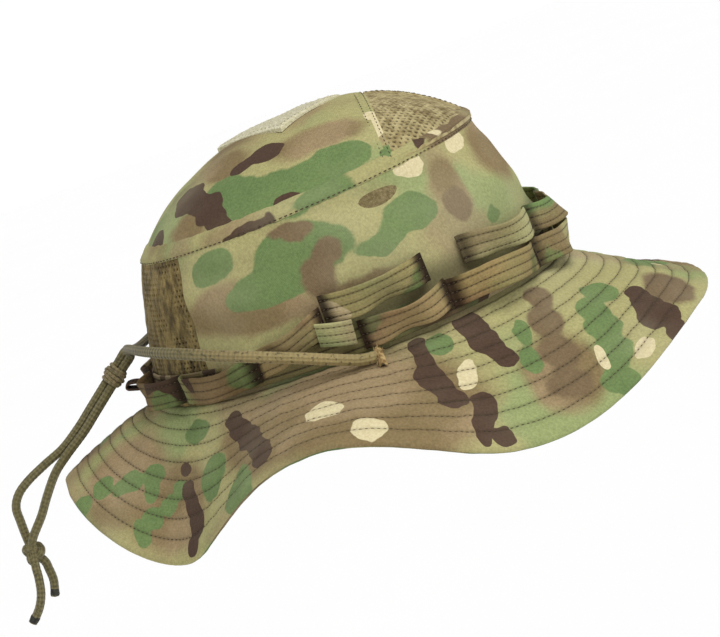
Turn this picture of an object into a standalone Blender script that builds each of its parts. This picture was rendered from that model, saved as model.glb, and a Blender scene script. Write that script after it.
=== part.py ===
"""Boonie hat: soft crown, vented panels, stitched drooping brim, foliage tape and chin cord.

Units are metres. +Z is up, +X is the front of the hat and -Y its right side.
The origin is the centre of the head opening, in the plane where crown and brim are sewn together.
"""

import math

import bmesh
import bpy
from mathutils import Vector

MM = 0.001

# Crown: plan ellipses at the head opening and at the top seam
BASE_A, BASE_B = 102.5 * MM, 84.5 * MM
TOP_A, TOP_B = 85.5 * MM, 71.0 * MM
SEAM_HEIGHT = 71.0 * MM
SEAM_RISE = 4.0 * MM
WALL_BOW = 1.6
DOME_HEIGHT = 32.5 * MM
DOME_POWER, DOME_FALL = 2.8, 1.05
CLOTH = 1.6 * MM
SEAM_GAP = 0.3 * MM

# Rear vent: half angles of its slanted side edges, measured from the front
VENT_EDGE_LOW, VENT_EDGE_HIGH = 138.0, 145.0
# The camouflage top ends and the two front mesh panels begin at this X
TOP_SPLIT_X = 38.0 * MM
MESH_HALF_GAP = 0.4 * MM
CENTRE_TAPE_HALF = 3.4 * MM

# Loop patch: a square set corner forward on the crown, flat on its upper face
PATCH_CENTRE_X = -2.0 * MM
PATCH_HALF_DIAGONAL = 32.0 * MM
PATCH_STAND = 1.4 * MM
PATCH_SLOPE = 0.04

# Brim: three plies, drooping more at four lobes than on the centre line
BRIM_WIDTH, BRIM_FRONT_EXTRA = 64.3 * MM, 3.0 * MM
BRIM_TUCK = 1.5 * MM
# How much of the droop draws the brim's edge inwards
BRIM_DRAW = 0.64
DROOP_MEAN, DROOP_FRONT = 13.0 * MM, 22.0 * MM
# Each lobe: angle, spread towards the front, spread towards the rear, depth
FRONT_LOBE = (65.9, 27.4, 27.4, 33.2 * MM)
REAR_LOBE = (143.1, 26.5, 30.0, 62.6 * MM)
BRIM_FLARE_FRONT, BRIM_FLARE_SIDE = -0.2, 0.3
PLY, PLY_STEP = 0.9 * MM, 1.35 * MM

# Bands
SWEATBAND_HEIGHT, SWEATBAND_THICK = 30.0 * MM, 1.5 * MM
SEAM_TAPE_HEIGHT = 11.0 * MM
TAPE_WIDTH, TAPE_THICK = 13.4 * MM, 1.1 * MM
TAPE_GAP = 0.5 * MM
TAPE_BOTTOM = 1.4 * MM

# Foliage loops of one side: start angle, end angle, mid height at each end, outward bow
LOOPS = (
    ("front_low_1", 4.0, 33.0, 8.5 * MM, 8.6 * MM, 7.2 * MM),
    ("front_low_2", 34.5, 65.0, 8.7 * MM, 11.2 * MM, 9.0 * MM),
    ("front_high_1", 2.0, 27.0, 22.8 * MM, 23.4 * MM, 7.2 * MM),
    ("front_high_2", 28.5, 57.0, 23.6 * MM, 26.4 * MM, 8.4 * MM),
    ("side_low", 67.0, 90.0, 11.6 * MM, 9.6 * MM, 8.4 * MM),
    ("side_high", 70.0, 97.0, 26.8 * MM, 25.2 * MM, 6.6 * MM),
    ("side_bow", 99.0, 118.0, 17.6 * MM, 12.0 * MM, 9.4 * MM),
    ("rear_low_1", 119.5, 146.0, 9.6 * MM, 8.8 * MM, 8.6 * MM),
    ("rear_low_2", 147.5, 175.0, 8.8 * MM, 8.6 * MM, 8.2 * MM),
)

# Chin cord
CORD_D = 4.0 * MM
CORD_SIDES = 2
PAIR_START = Vector((-111.5, 0.0, 25.4)) * MM
PAIR_END = Vector((-158.0, 0.0, -10.2)) * MM
PAIR_SPREAD = 1.62 * MM
KNOT_CENTRE = Vector((-190.5, 0.0, -49.5)) * MM
KNOT_SIZE = Vector((6.4, 5.6, 6.9)) * MM
FACE_GAP = 0.95 * MM

# Slider bead on the doubled cord
SLIDER_ALONG = 11.4 * MM
SLIDER_LENGTH = 9.4 * MM
SLIDER_HALF_WIDE, SLIDER_HALF_THIN = 6.1 * MM, 4.3 * MM
SLIDER_HOLE_WIDE, SLIDER_HOLE_THIN = 4.7 * MM, 2.5 * MM

RING = 60


def clear_scene():
    for obj in list(bpy.data.objects):
        bpy.data.objects.remove(obj, do_unlink=True)


def material(name, colour, roughness):
    mat = bpy.data.materials.new(name)
    mat.use_nodes = True
    shader = mat.node_tree.nodes["Principled BSDF"]
    shader.inputs["Base Color"].default_value = (*colour, 1.0)
    shader.inputs["Roughness"].default_value = roughness
    shader.inputs["Metallic"].default_value = 0.0
    mat.diffuse_color = (*colour, 1.0)
    return mat


def new_object(name, mesh, mat):
    obj = bpy.data.objects.new(name, mesh)
    bpy.context.scene.collection.objects.link(obj)
    mesh.materials.append(mat)
    return obj


def finish_mesh(name, bm, mat):
    """Weld, face outward, shade smooth with sharp rims, and link the solid."""
    bmesh.ops.remove_doubles(bm, verts=bm.verts, dist=0.00001)
    bmesh.ops.recalc_face_normals(bm, faces=bm.faces)
    mesh = bpy.data.meshes.new(name)
    bm.to_mesh(mesh)
    bm.free()
    mesh.shade_smooth()
    mesh.set_sharp_from_angle(angle=math.radians(40))
    return new_object(name, mesh, mat)


def sheet_solid(name, outer, inner, mat, closed=False):
    """Solid between two grids of points (rows of equal length). closed joins each row's ends."""
    bm = bmesh.new()
    rows, cols = len(outer), len(outer[0])
    top = [[bm.verts.new(p) for p in row] for row in outer]
    low = [[bm.verts.new(p) for p in row] for row in inner]
    spans = cols if closed else cols - 1
    for r in range(rows - 1):
        for c in range(spans):
            d = (c + 1) % cols
            bm.faces.new((top[r][c], top[r][d], top[r + 1][d], top[r + 1][c]))
            bm.faces.new((low[r][c], low[r + 1][c], low[r + 1][d], low[r][d]))
    for r in (0, rows - 1):
        for c in range(spans):
            d = (c + 1) % cols
            bm.faces.new((top[r][c], low[r][c], low[r][d], top[r][d]))
    if not closed:
        for c in (0, cols - 1):
            for r in range(rows - 1):
                bm.faces.new((top[r][c], top[r + 1][c], low[r + 1][c], low[r][c]))
    return finish_mesh(name, bm, mat)


def fan_solid(name, outline, centre, rings, upper, lower, mat):
    """Solid over a star-shaped plan outline, between the height functions upper and lower."""
    bm = bmesh.new()
    cx, cy = centre

    def layer(height):
        hub = bm.verts.new((cx, cy, height(cx, cy)))
        loops = []
        for k in range(1, rings + 1):
            q = k / rings
            row = []
            for x, y in outline:
                px, py = cx + q * (x - cx), cy + q * (y - cy)
                row.append(bm.verts.new((px, py, height(px, py))))
            loops.append(row)
        count = len(outline)
        for i in range(count):
            j = (i + 1) % count
            bm.faces.new((hub, loops[0][i], loops[0][j]))
            for k in range(rings - 1):
                bm.faces.new((loops[k][i], loops[k + 1][i], loops[k + 1][j], loops[k][j]))
        return loops[-1]

    top = layer(upper)
    low = layer(lower)
    for i in range(len(outline)):
        j = (i + 1) % len(outline)
        bm.faces.new((top[i], low[i], low[j], top[j]))
    return finish_mesh(name, bm, mat)


# Crown surface -------------------------------------------------------------------------------

def seam_height(x):
    return SEAM_HEIGHT + SEAM_RISE * x / TOP_A


def wall_point(angle, z, offset=0.0):
    """Point on the crown wall's outer face at a plan angle in degrees, moved out by offset."""
    t = math.radians(angle)
    share = max(0.0, z / SEAM_HEIGHT) ** WALL_BOW
    a = BASE_A + (TOP_A - BASE_A) * share
    b = BASE_B + (TOP_B - BASE_B) * share
    normal = Vector((math.cos(t) / a, math.sin(t) / b, 0.0)).normalized()
    return Vector((a * math.cos(t), b * math.sin(t), z)) + normal * offset


def dome_height(x, y):
    reach = min(1.0, math.hypot(x / TOP_A, y / TOP_B))
    return seam_height(x) + DOME_HEIGHT * (1.0 - reach ** DOME_POWER) ** DOME_FALL


def wall_rows(angle_low, angle_high, columns, rows, offset):
    """Grid of the crown wall from angle_low(h) to angle_high(h), h running 0 to 1 up the wall."""
    grid = []
    for r in range(rows + 1):
        h = r / rows
        start, stop = angle_low(h), angle_high(h)
        row = []
        for c in range(columns + 1):
            angle = start + (stop - start) * c / columns
            rim = wall_point(angle, SEAM_HEIGHT)
            top = seam_height(rim.x) - SEAM_GAP
            z = SEAM_GAP + (top - SEAM_GAP) * h
            row.append(wall_point(angle, z, offset))
        grid.append(row)
    return grid


def vent_edge(h):
    return VENT_EDGE_LOW + (VENT_EDGE_HIGH - VENT_EDGE_LOW) * h


def build_crown_wall(camo, mesh_cloth):
    slit = 0.2
    grids = [
        wall_rows(lambda h: slit - vent_edge(h), lambda h: vent_edge(h) - slit, 54, 5, offset)
        for offset in (0.0, -CLOTH)
    ]
    sheet_solid("crown_side_panel", grids[0], grids[1], camo)
    grids = [
        wall_rows(lambda h: vent_edge(h) + slit, lambda h: 360 - slit - vent_edge(h), 16, 5, offset)
        for offset in (0.0, -CLOTH)
    ]
    sheet_solid("rear_mesh_panel", grids[0], grids[1], mesh_cloth)


def arc_outline(start, stop, count):
    """Plan points on the top seam ellipse, from start to stop degrees."""
    points = []
    for i in range(count + 1):
        t = math.radians(start + (stop - start) * i / count)
        points.append((TOP_A * math.cos(t), TOP_B * math.sin(t)))
    return points


def build_crown_top(camo, mesh_cloth, tape_cloth):
    def upper(x, y):
        return dome_height(x, y) + CLOTH

    split = math.degrees(math.acos(TOP_SPLIT_X / TOP_A))
    rear = arc_outline(split + 0.3, 360 - split - 0.3, 34)
    chord_y = rear[0][1]
    rear += [(TOP_SPLIT_X - SEAM_GAP, chord_y * k) for k in (-0.75, -0.5, -0.25, 0, 0.25, 0.5, 0.75)]
    fan_solid("crown_top_rear", rear, (-14 * MM, 0.0), 5, upper, dome_height, camo)

    for side, name in ((-1, "top_mesh_right"), (1, "top_mesh_left")):
        edge = [(x, side * y) for x, y in arc_outline(split - 0.4, 2.0, 12)]
        front = edge[-1][0]
        inner_y = side * MESH_HALF_GAP
        line_x = TOP_SPLIT_X + SEAM_GAP
        edge += [(line_x + (front - line_x) * k, inner_y) for k in (1.0, 0.75, 0.5, 0.25, 0.0)]
        edge += [(line_x, inner_y + (edge[0][1] - inner_y) * k) for k in (0.25, 0.5, 0.75)]
        fan_solid(name, edge, (55 * MM, side * 24 * MM), 4, upper, dome_height, mesh_cloth)

    grids = []
    for lift in (CLOTH + SEAM_GAP + 0.9 * MM, CLOTH + SEAM_GAP):
        rows = []
        for k in range(13):
            x = TOP_SPLIT_X + 1.5 * MM + (TOP_A - TOP_SPLIT_X - 4 * MM) * k / 12
            rows.append([(x, y, dome_height(x, y) + lift)
                         for y in (-CENTRE_TAPE_HALF, 0.0, CENTRE_TAPE_HALF)])
        grids.append(rows)
    sheet_solid("top_centre_tape", grids[0], grids[1], tape_cloth)


def build_loop_patch(mat):
    """Square of loop cloth on a stiff pad: its underside follows the crown, its face is flat."""
    corners = [(PATCH_CENTRE_X + PATCH_HALF_DIAGONAL, 0.0), (PATCH_CENTRE_X, PATCH_HALF_DIAGONAL),
               (PATCH_CENTRE_X - PATCH_HALF_DIAGONAL, 0.0), (PATCH_CENTRE_X, -PATCH_HALF_DIAGONAL)]
    outline = []
    for i in range(4):
        x0, y0 = corners[i]
        x1, y1 = corners[(i + 1) % 4]
        outline += [(x0 + (x1 - x0) * k / 4, y0 + (y1 - y0) * k / 4) for k in range(4)]
    level = dome_height(PATCH_CENTRE_X, 0.0) + CLOTH + PATCH_STAND

    def upper(x, y):
        return level + PATCH_SLOPE * (x - PATCH_CENTRE_X)

    def lower(x, y):
        return dome_height(x, y) + CLOTH + 0.4 * MM

    fan_solid("top_loop_patch", outline, (PATCH_CENTRE_X, 0.0), 4, upper, lower, mat)


# Brim ----------------------------------------------------------------------------------------

def lobe(angle, shape):
    centre, spread_front, spread_rear, depth = shape
    total = 0.0
    for sign in (1, -1):
        off = ((angle - sign * centre + 180.0) % 360.0 - 180.0) * sign
        spread = spread_rear if off > 0.0 else spread_front
        total += depth * math.exp(-(off / spread) ** 2)
    return total


def edge_droop(angle):
    """Depth of the brim's edge below the head opening."""
    turn = math.cos(math.radians(angle))
    return DROOP_MEAN + DROOP_FRONT * turn + lobe(angle, FRONT_LOBE) + lobe(angle, REAR_LOBE)


def brim_point(angle, share, drop=0.0):
    """Point on the brim's upper face, share running 0 at the crown to 1 at the edge."""
    t = math.radians(angle)
    droop = edge_droop(angle)
    width = BRIM_WIDTH + BRIM_FRONT_EXTRA * math.cos(t)
    reach = math.sqrt(width ** 2 - (BRIM_DRAW * droop) ** 2)
    front = max(0.0, math.cos(t)) ** 2
    flare = BRIM_FLARE_SIDE + (BRIM_FLARE_FRONT - BRIM_FLARE_SIDE) * front
    fall = droop * ((1.0 - flare) * share + flare * share * share)
    normal = Vector((math.cos(t) / BASE_A, math.sin(t) / BASE_B, 0.0)).normalized()
    edge = Vector((BASE_A * math.cos(t), BASE_B * math.sin(t), 0.0))
    tuck = -BRIM_TUCK * (1.0 - share)
    return edge + normal * (tuck + reach * share) + Vector((0.0, 0.0, -fall - drop))


def build_brim(upper, core, lower):
    shares = (0.0, 0.2, 0.47, 0.75, 1.0)
    plies = (("brim_upper", upper), ("brim_interlining", core), ("brim_lower", lower))
    for level, (name, mat) in enumerate(plies):
        grids = []
        for drop in (level * PLY_STEP, level * PLY_STEP + PLY):
            grids.append([[brim_point(360.0 * i / RING, s, drop) for i in range(RING)] for s in shares])
        sheet_solid(name, grids[0], grids[1], mat, closed=True)


# Bands and tapes -----------------------------------------------------------------------------

def band(name, z_low, z_high, offset, thick, mat):
    grids = []
    for out in (offset + thick, offset):
        grids.append([[wall_point(360.0 * i / RING, z, out) for i in range(RING)]
                      for z in (z_low, z_high)])
    sheet_solid(name, grids[0], grids[1], mat, closed=True)


def build_bands(sweat, tape):
    inside = -(CLOTH + 0.6 * MM)
    band("sweatband", 0.2 * MM, SWEATBAND_HEIGHT, inside - SWEATBAND_THICK, SWEATBAND_THICK, sweat)
    top = SEAM_HEIGHT - SEAM_RISE - 1.5 * MM
    band("crown_seam_tape", top - SEAM_TAPE_HEIGHT, top, inside - 0.9 * MM, 0.9 * MM, tape)
    band("foliage_base_tape", TAPE_BOTTOM, TAPE_BOTTOM + TAPE_WIDTH, TAPE_GAP, TAPE_THICK, tape)


def build_foliage_loops(mat):
    """Bowed lengths of tape, sewn down at both ends, mirrored from side to side."""
    columns = 12
    rest = TAPE_GAP + TAPE_THICK + TAPE_GAP
    for side, hand in ((-1, "right"), (1, "left")):
        for label, start, stop, z_start, z_stop, bow in LOOPS:
            grids = []
            for out in (TAPE_THICK, 0.0):
                rows = []
                for z_off in (-TAPE_WIDTH / 2, TAPE_WIDTH / 2):
                    row = []
                    for c in range(columns + 1):
                        s = c / columns
                        z = z_start + (z_stop - z_start) * s + z_off
                        lift = rest + out + bow * math.sin(math.pi * s) ** 0.8
                        row.append(wall_point(side * (start + (stop - start) * s), z, lift))
                    rows.append(row)
                grids.append(rows)
            sheet_solid(f"foliage_loop_{label}_{hand}", grids[0], grids[1], mat)


def build_rear_keeper(mat):
    """Folded tape loop at the centre back, sewn to the base tape and reaching out to the cords."""
    half_width, thick, half_open = 4.5 * MM, 0.9 * MM, 1.5 * MM
    root = Vector((-(BASE_A + TAPE_GAP + TAPE_THICK + 0.8 * MM), 0.0, 8.4 * MM))
    reach = Vector((-9.5, 0.0, 2.2)) * MM
    along = reach.normalized()
    up = Vector((-along.z, 0.0, along.x)) * -1.0
    path = []
    for s in (0.0, 0.35, 0.7, 1.0):
        path.append((root + reach * s, up, half_open * min(1.0, 0.3 + 2.0 * s)))
    turn = []
    for k in range(1, 6):
        angle = math.pi * k / 6
        turn.append(up * math.cos(angle) + along * math.sin(angle))
    grids = []
    for extra in (thick, 0.0):
        line = [p + n * (w + extra) for p, n, w in path]
        line += [root + reach + n * (half_open + extra) for n in turn]
        line += [p - n * (w + extra) for p, n, w in reversed(path)]
        grids.append([[q + Vector((0.0, y, 0.0)) for q in line] for y in (-half_width, half_width)])
    sheet_solid("rear_keeper_loop", grids[0], grids[1], mat)


# Chin cord -----------------------------------------------------------------------------------

def pair_frame():
    """Direction of the doubled cord, and the normal that separates its two strands."""
    along = (PAIR_END - PAIR_START).normalized()
    normal = Vector((along.z, 0.0, -along.x))
    return along, normal


def strand_offset(side):
    return Vector((0.0, side * PAIR_SPREAD, 0.0)) + pair_frame()[1] * (side * PAIR_SPREAD)


def smooth_route(points, spacing):
    """Even points along a Catmull-Rom curve through the route's own points."""
    dense = []
    for i in range(len(points) - 1):
        p0 = points[max(i - 1, 0)]
        p1, p2 = points[i], points[i + 1]
        p3 = points[min(i + 2, len(points) - 1)]
        for k in range(24):
            u = k / 24
            dense.append(0.5 * ((2 * p1) + (p2 - p0) * u + (2 * p0 - 5 * p1 + 4 * p2 - p3) * u * u
                                + (3 * p1 - 3 * p2 + p3 - p0) * u ** 3))
    dense.append(points[-1].copy())
    lengths = [0.0]
    for i in range(1, len(dense)):
        lengths.append(lengths[-1] + (dense[i] - dense[i - 1]).length)
    count = max(2, round(lengths[-1] / spacing))
    even, j = [], 0
    for i in range(count + 1):
        want = lengths[-1] * i / count
        while j < len(dense) - 2 and lengths[j + 1] < want:
            j += 1
        span = lengths[j + 1] - lengths[j]
        even.append(dense[j].lerp(dense[j + 1], (want - lengths[j]) / span))
    return even


def cord_tube(name, route, mat):
    curve = bpy.data.curves.new(name, "CURVE")
    curve.dimensions = "3D"
    curve.bevel_depth = CORD_D / 2
    curve.bevel_resolution = CORD_SIDES
    curve.use_fill_caps = True
    curve.twist_mode = "MINIMUM"
    points = smooth_route([Vector(p) * MM for p in route], 2.2 * CORD_D)
    spline = curve.splines.new("POLY")
    spline.points.add(len(points) - 1)
    for slot, p in zip(spline.points, points):
        slot.co = (*p, 1.0)
    obj = bpy.data.objects.new(name, curve)
    bpy.context.scene.collection.objects.link(obj)
    curve.materials.append(mat)


def millimetres(vector):
    return tuple(vector / MM)


def knot_port(direction):
    """Point just clear of the knot's surface, where a strand's end faces it."""
    d = Vector(direction).normalized()
    surface = Vector((d.x * KNOT_SIZE.x, d.y * KNOT_SIZE.y, d.z * KNOT_SIZE.z))
    return millimetres(KNOT_CENTRE + surface + d * FACE_GAP)


def arm_route(side):
    """Route of one arm from its slit in the brim, round the crown, and down through the slider."""
    arm = [(1.5, 94.2, -0.6), (-6, 95.4, 0.8), (-16, 96.2, 5), (-31, 95.8, 11.5), (-47, 92, 17.5),
           (-63, 84.5, 22.8), (-78, 73.5, 27.4), (-91, 58.5, 30.2), (-100.5, 41, 31.4),
           (-106.2, 24.5, 31.4), (-109, 11.5, 29.6)]
    route = [(x, side * y, z) for x, y, z in arm]
    offset = strand_offset(side)
    for share in (-0.02, 0.1, 0.35, 0.65, 0.96):
        route.append(millimetres(PAIR_START + (PAIR_END - PAIR_START) * share + offset))
    return route


RIGHT_TO_KNOT = [(-166.2, -1.7, -12.2), (-171.6, -1.7, -18.6), (-176.2, -1.8, -26.6),
                 (-181.8, -1.9, -34.8), (-186.4, -2.0, -40.6), knot_port((0.35, -0.35, 0.87))]
LEFT_TO_KNOT = [(-169.5, 2.2, -11.6), (-178.5, 2.0, -18.2), (-187.5, 2.2, -24.4),
                (-192.8, 2.4, -32.0), (-193.4, 2.4, -38.4), knot_port((-0.2, 0.4, 0.89))]
RIGHT_END = [knot_port((-0.1, -0.35, -0.93)), (-191.8, -2.2, -62.5), (-193.4, -2.2, -70.0),
             (-195.8, -2.0, -77.5), (-200.2, -1.6, -85.0)]
LEFT_END = [knot_port((0.45, 0.38, -0.8)), (-185.2, 2.9, -60.5), (-184.4, 3.0, -67.0),
            (-186.4, 3.0, -75.0)]


def build_cords(cord):
    cord_tube("chin_cord_right", arm_route(-1) + RIGHT_TO_KNOT, cord)
    cord_tube("chin_cord_left", arm_route(1) + LEFT_TO_KNOT, cord)
    cord_tube("cord_tail_right", RIGHT_END, cord)
    cord_tube("cord_tail_left", LEFT_END, cord)


def build_knot(mat):
    bm = bmesh.new()
    bmesh.ops.create_uvsphere(bm, u_segments=14, v_segments=9, radius=1.0)
    for vert in bm.verts:
        vert.co = Vector((vert.co.x * KNOT_SIZE.x, vert.co.y * KNOT_SIZE.y, vert.co.z * KNOT_SIZE.z))
    obj = finish_mesh("cord_knot", bm, mat)
    obj.location = KNOT_CENTRE


def build_slider(mat):
    """Barrel bead with an oval hole, its origin on the doubled cord."""
    along, normal = pair_frame()
    wide = (Vector((0.0, 1.0, 0.0)) + normal).normalized()
    thin = along.cross(wide)
    profile = [(-0.5, 0.84), (-0.36, 0.98), (0.0, 1.0), (0.36, 0.98), (0.5, 0.84)]
    sides = 20
    outer, inner = [], []
    for share, swell in profile:
        shift = along * (SLIDER_LENGTH * share)
        ring, hole = [], []
        for i in range(sides):
            c, s = math.cos(math.tau * i / sides), math.sin(math.tau * i / sides)
            ring.append(shift + wide * (SLIDER_HALF_WIDE * swell * c) + thin * (SLIDER_HALF_THIN * swell * s))
            hole.append(shift + wide * (SLIDER_HOLE_WIDE * abs(c) ** 0.7 * math.copysign(1, c))
                        + thin * (SLIDER_HOLE_THIN * abs(s) ** 0.7 * math.copysign(1, s)))
        outer.append(ring)
        inner.append(hole)
    obj = sheet_solid("cord_slider", outer, inner, mat, closed=True)
    obj.location = PAIR_START + along * SLIDER_ALONG


def build_bartacks(mat):
    """Dense bar of stitches that holds each cord end at its slit in the brim, beside the ear."""
    for side, hand in ((-1, "right"), (1, "left")):
        bm = bmesh.new()
        bmesh.ops.create_cube(bm, size=1.0)
        size = Vector((2.2, 9.0, 5.2)) * MM
        for vert in bm.verts:
            vert.co = Vector((vert.co.x * size.x, vert.co.y * size.y, vert.co.z * size.z))
        bmesh.ops.bevel(bm, geom=bm.edges[:], offset=0.5 * MM, segments=1, affect="EDGES")
        obj = finish_mesh(f"cord_bartack_{hand}", bm, mat)
        obj.location = Vector((3.7, side * 94.2, -0.7)) * MM
        obj.rotation_euler = (side * -math.radians(33), 0.0, 0.0)


def build():
    clear_scene()
    camo = material("camouflage_cloth", (0.27, 0.26, 0.13), 0.9)
    brim_cloth = material("brim_cloth", (0.28, 0.22, 0.12), 0.9)
    underside = material("brim_underside", (0.13, 0.11, 0.07), 0.92)
    lining = material("interlining", (0.24, 0.22, 0.17), 0.95)
    mesh_cloth = material("vent_mesh", (0.24, 0.19, 0.095), 0.85)
    tape = material("foliage_tape", (0.22, 0.2, 0.12), 0.9)
    patch = material("loop_patch", (0.42, 0.4, 0.23), 0.97)
    sweat = material("sweatband_cloth", (0.2, 0.17, 0.1), 0.93)
    cord = material("braided_cord", (0.17, 0.145, 0.06), 0.7)
    bead = material("slider_bead", (0.24, 0.18, 0.09), 0.6)
    thread = material("thread", (0.3, 0.22, 0.1), 0.8)

    build_crown_wall(camo, mesh_cloth)
    build_crown_top(camo, mesh_cloth, tape)
    build_loop_patch(patch)
    build_brim(brim_cloth, lining, underside)
    build_bands(sweat, tape)
    build_foliage_loops(tape)
    build_rear_keeper(tape)
    build_cords(cord)
    build_knot(cord)
    build_slider(bead)
    build_bartacks(thread)


build()
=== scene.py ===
"""Boonie hat: cloth, stitching, tape loops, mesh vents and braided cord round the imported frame."""

import math

import bpy
import numpy as np
from mathutils import Matrix, Vector


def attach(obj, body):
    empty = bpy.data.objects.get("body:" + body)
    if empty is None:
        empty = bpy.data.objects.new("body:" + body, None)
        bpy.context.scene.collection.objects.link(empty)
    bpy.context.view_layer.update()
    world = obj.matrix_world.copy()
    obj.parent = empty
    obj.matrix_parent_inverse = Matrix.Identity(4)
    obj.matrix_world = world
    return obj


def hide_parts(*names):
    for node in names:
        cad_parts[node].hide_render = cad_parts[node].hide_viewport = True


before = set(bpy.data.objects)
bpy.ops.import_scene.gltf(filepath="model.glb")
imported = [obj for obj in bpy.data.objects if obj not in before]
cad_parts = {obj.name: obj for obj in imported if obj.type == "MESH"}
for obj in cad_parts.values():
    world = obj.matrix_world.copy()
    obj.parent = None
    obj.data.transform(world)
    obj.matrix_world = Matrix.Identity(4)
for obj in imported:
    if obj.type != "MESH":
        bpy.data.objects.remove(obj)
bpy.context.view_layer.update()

MM = 0.001

# The hat's driving sizes, as in the frame. The vent's edges are the exception: the photo has them
# further forward. The brim's width, draw, droop and lobes are rounded results of a fit of its
# outline to the photo's
BASE_A, BASE_B = 102.5 * MM, 84.5 * MM
TOP_A, TOP_B = 85.5 * MM, 71.0 * MM
SEAM_HEIGHT, SEAM_RISE, WALL_BOW = 71.0 * MM, 4.0 * MM, 1.6
DOME_HEIGHT, DOME_POWER, DOME_FALL = 32.5 * MM, 2.8, 1.05
CLOTH = 1.6 * MM
# The wall's cloth reaches this far below the brim's seam, so that no light shows there
WALL_FOOT = -1.3 * MM
VENT_EDGE_LOW, VENT_EDGE_HIGH = 133.5, 140.5
TOP_SPLIT_X = 38.0 * MM
PATCH_CENTRE_X, PATCH_HALF_DIAGONAL, PATCH_SLOPE = -2.0 * MM, 32.0 * MM, 0.04
BRIM_WIDTH, BRIM_FRONT_EXTRA, BRIM_TUCK, BRIM_DRAW = 64.3 * MM, 3.0 * MM, 1.5 * MM, 0.64
DROOP_MEAN, DROOP_FRONT = 13.0 * MM, 22.0 * MM
FRONT_LOBE = (65.9, 27.4, 27.4, 33.2 * MM)
REAR_LOBE = (143.1, 26.5, 30.0, 62.6 * MM)
BRIM_FLARE_FRONT, BRIM_FLARE_SIDE = -0.2, 0.3
TAPE_WIDTH, TAPE_REST = 13.4 * MM, 2.1 * MM
CORD_D = 4.0 * MM

# Stitch rows on the brim: distance of the outermost from the edge and their spacing, where the
# brim is ROW_WIDTH wide; the rows spread with its local width
ROW_WIDTH, ROW_EDGE, ROW_STEP, ROW_COUNT = 64.0 * MM, 8.2 * MM, 7.1 * MM, 8

# Camera: the hat is level, so the camera is rolled to show it nose up
VIEW_DISTANCE, VIEW_ELEVATION, VIEW_AZIMUTH, VIEW_ROLL = 0.95, 10.0, 0.0, 21.0
VIEW_TARGET = Vector((0.7, 0.0, 1.2)) * MM
FIELD_WIDTH = 0.351


# Numbers and surfaces ------------------------------------------------------------------------

def waves(points, wavelength, seed, count=10):
    """Smooth noise from about -1 to 1: sine waves in seeded random directions."""
    r = np.random.default_rng(seed)
    heading = r.normal(size=(count, 3))
    heading /= np.linalg.norm(heading, axis=1)[:, None]
    k = math.tau / (wavelength * r.uniform(0.7, 1.5, count))
    phase = r.uniform(0, math.tau, count)
    total = np.zeros(points.shape[:-1])
    for i in range(count):
        total += np.sin(points @ heading[i] * k[i] + phase[i])
    return total / math.sqrt(count)


def smoothstep(low, high, x):
    s = np.clip((x - low) / (high - low), 0.0, 1.0)
    return s * s * (3 - 2 * s)


def unit(v):
    return v / np.maximum(np.linalg.norm(v, axis=-1, keepdims=True), 1e-12)


def seam_height(x):
    return SEAM_HEIGHT + SEAM_RISE * x / TOP_A


def wall(angle, z, out=0.0):
    """Points on the crown wall at plan angles in degrees, moved outwards by out."""
    t = np.radians(angle)
    share = np.clip(z / SEAM_HEIGHT, 0.0, None) ** WALL_BOW
    a = BASE_A + (TOP_A - BASE_A) * share
    b = BASE_B + (TOP_B - BASE_B) * share
    n = unit(np.stack([np.cos(t) / a, np.sin(t) / b], axis=-1))
    x = a * np.cos(t) + n[..., 0] * out
    y = b * np.sin(t) + n[..., 1] * out
    return np.stack([x, y, z + 0.0 * x], axis=-1)


def dome(x, y):
    reach = np.clip(np.hypot(x / TOP_A, y / TOP_B), 0.0, 1.0)
    return seam_height(x) + DOME_HEIGHT * (1.0 - reach ** DOME_POWER) ** DOME_FALL


def lobe(angle, shape):
    centre, spread_front, spread_rear, depth = shape
    total = 0.0
    for sign in (1, -1):
        off = ((angle - sign * centre + 180.0) % 360.0 - 180.0) * sign
        total = total + depth * np.exp(-(off / np.where(off > 0, spread_rear, spread_front)) ** 2)
    return total


def brim_edge(angle):
    """Droop and plan reach of the brim at plan angles."""
    turn = np.cos(np.radians(angle))
    droop = DROOP_MEAN + DROOP_FRONT * turn + lobe(angle, FRONT_LOBE) + lobe(angle, REAR_LOBE)
    reach = np.sqrt((BRIM_WIDTH + BRIM_FRONT_EXTRA * turn) ** 2 - (BRIM_DRAW * droop) ** 2)
    return droop, reach


def brim(angle, share):
    """Points on the brim's upper face, share running 0 at the crown to 1 at the edge."""
    t = np.radians(angle)
    droop, reach = brim_edge(angle)
    front = np.clip(np.cos(t), 0.0, None) ** 2
    flare = BRIM_FLARE_SIDE + (BRIM_FLARE_FRONT - BRIM_FLARE_SIDE) * front
    fall = droop * ((1.0 - flare) * share + flare * share * share)
    n = unit(np.stack([np.cos(t) / BASE_A, np.sin(t) / BASE_B], axis=-1))
    out = -BRIM_TUCK * (1.0 - share) + reach * share
    x = BASE_A * np.cos(t) + n[..., 0] * out
    y = BASE_B * np.sin(t) + n[..., 1] * out
    return np.stack([x, y, -fall + 0.0 * x], axis=-1)


def grid_normals(grid, wrap, toward):
    """Unit normals of a grid of points, on the side that the vector or field toward points to."""
    if wrap:
        dc = np.roll(grid, -1, axis=1) - np.roll(grid, 1, axis=1)
    else:
        dc = np.gradient(grid, axis=1)
    dr = np.gradient(grid, axis=0)
    n = unit(np.cross(dc, dr))
    flip = np.sign(np.sum(n * toward, axis=-1, keepdims=True))
    return n * np.where(flip == 0, 1, flip)


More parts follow.
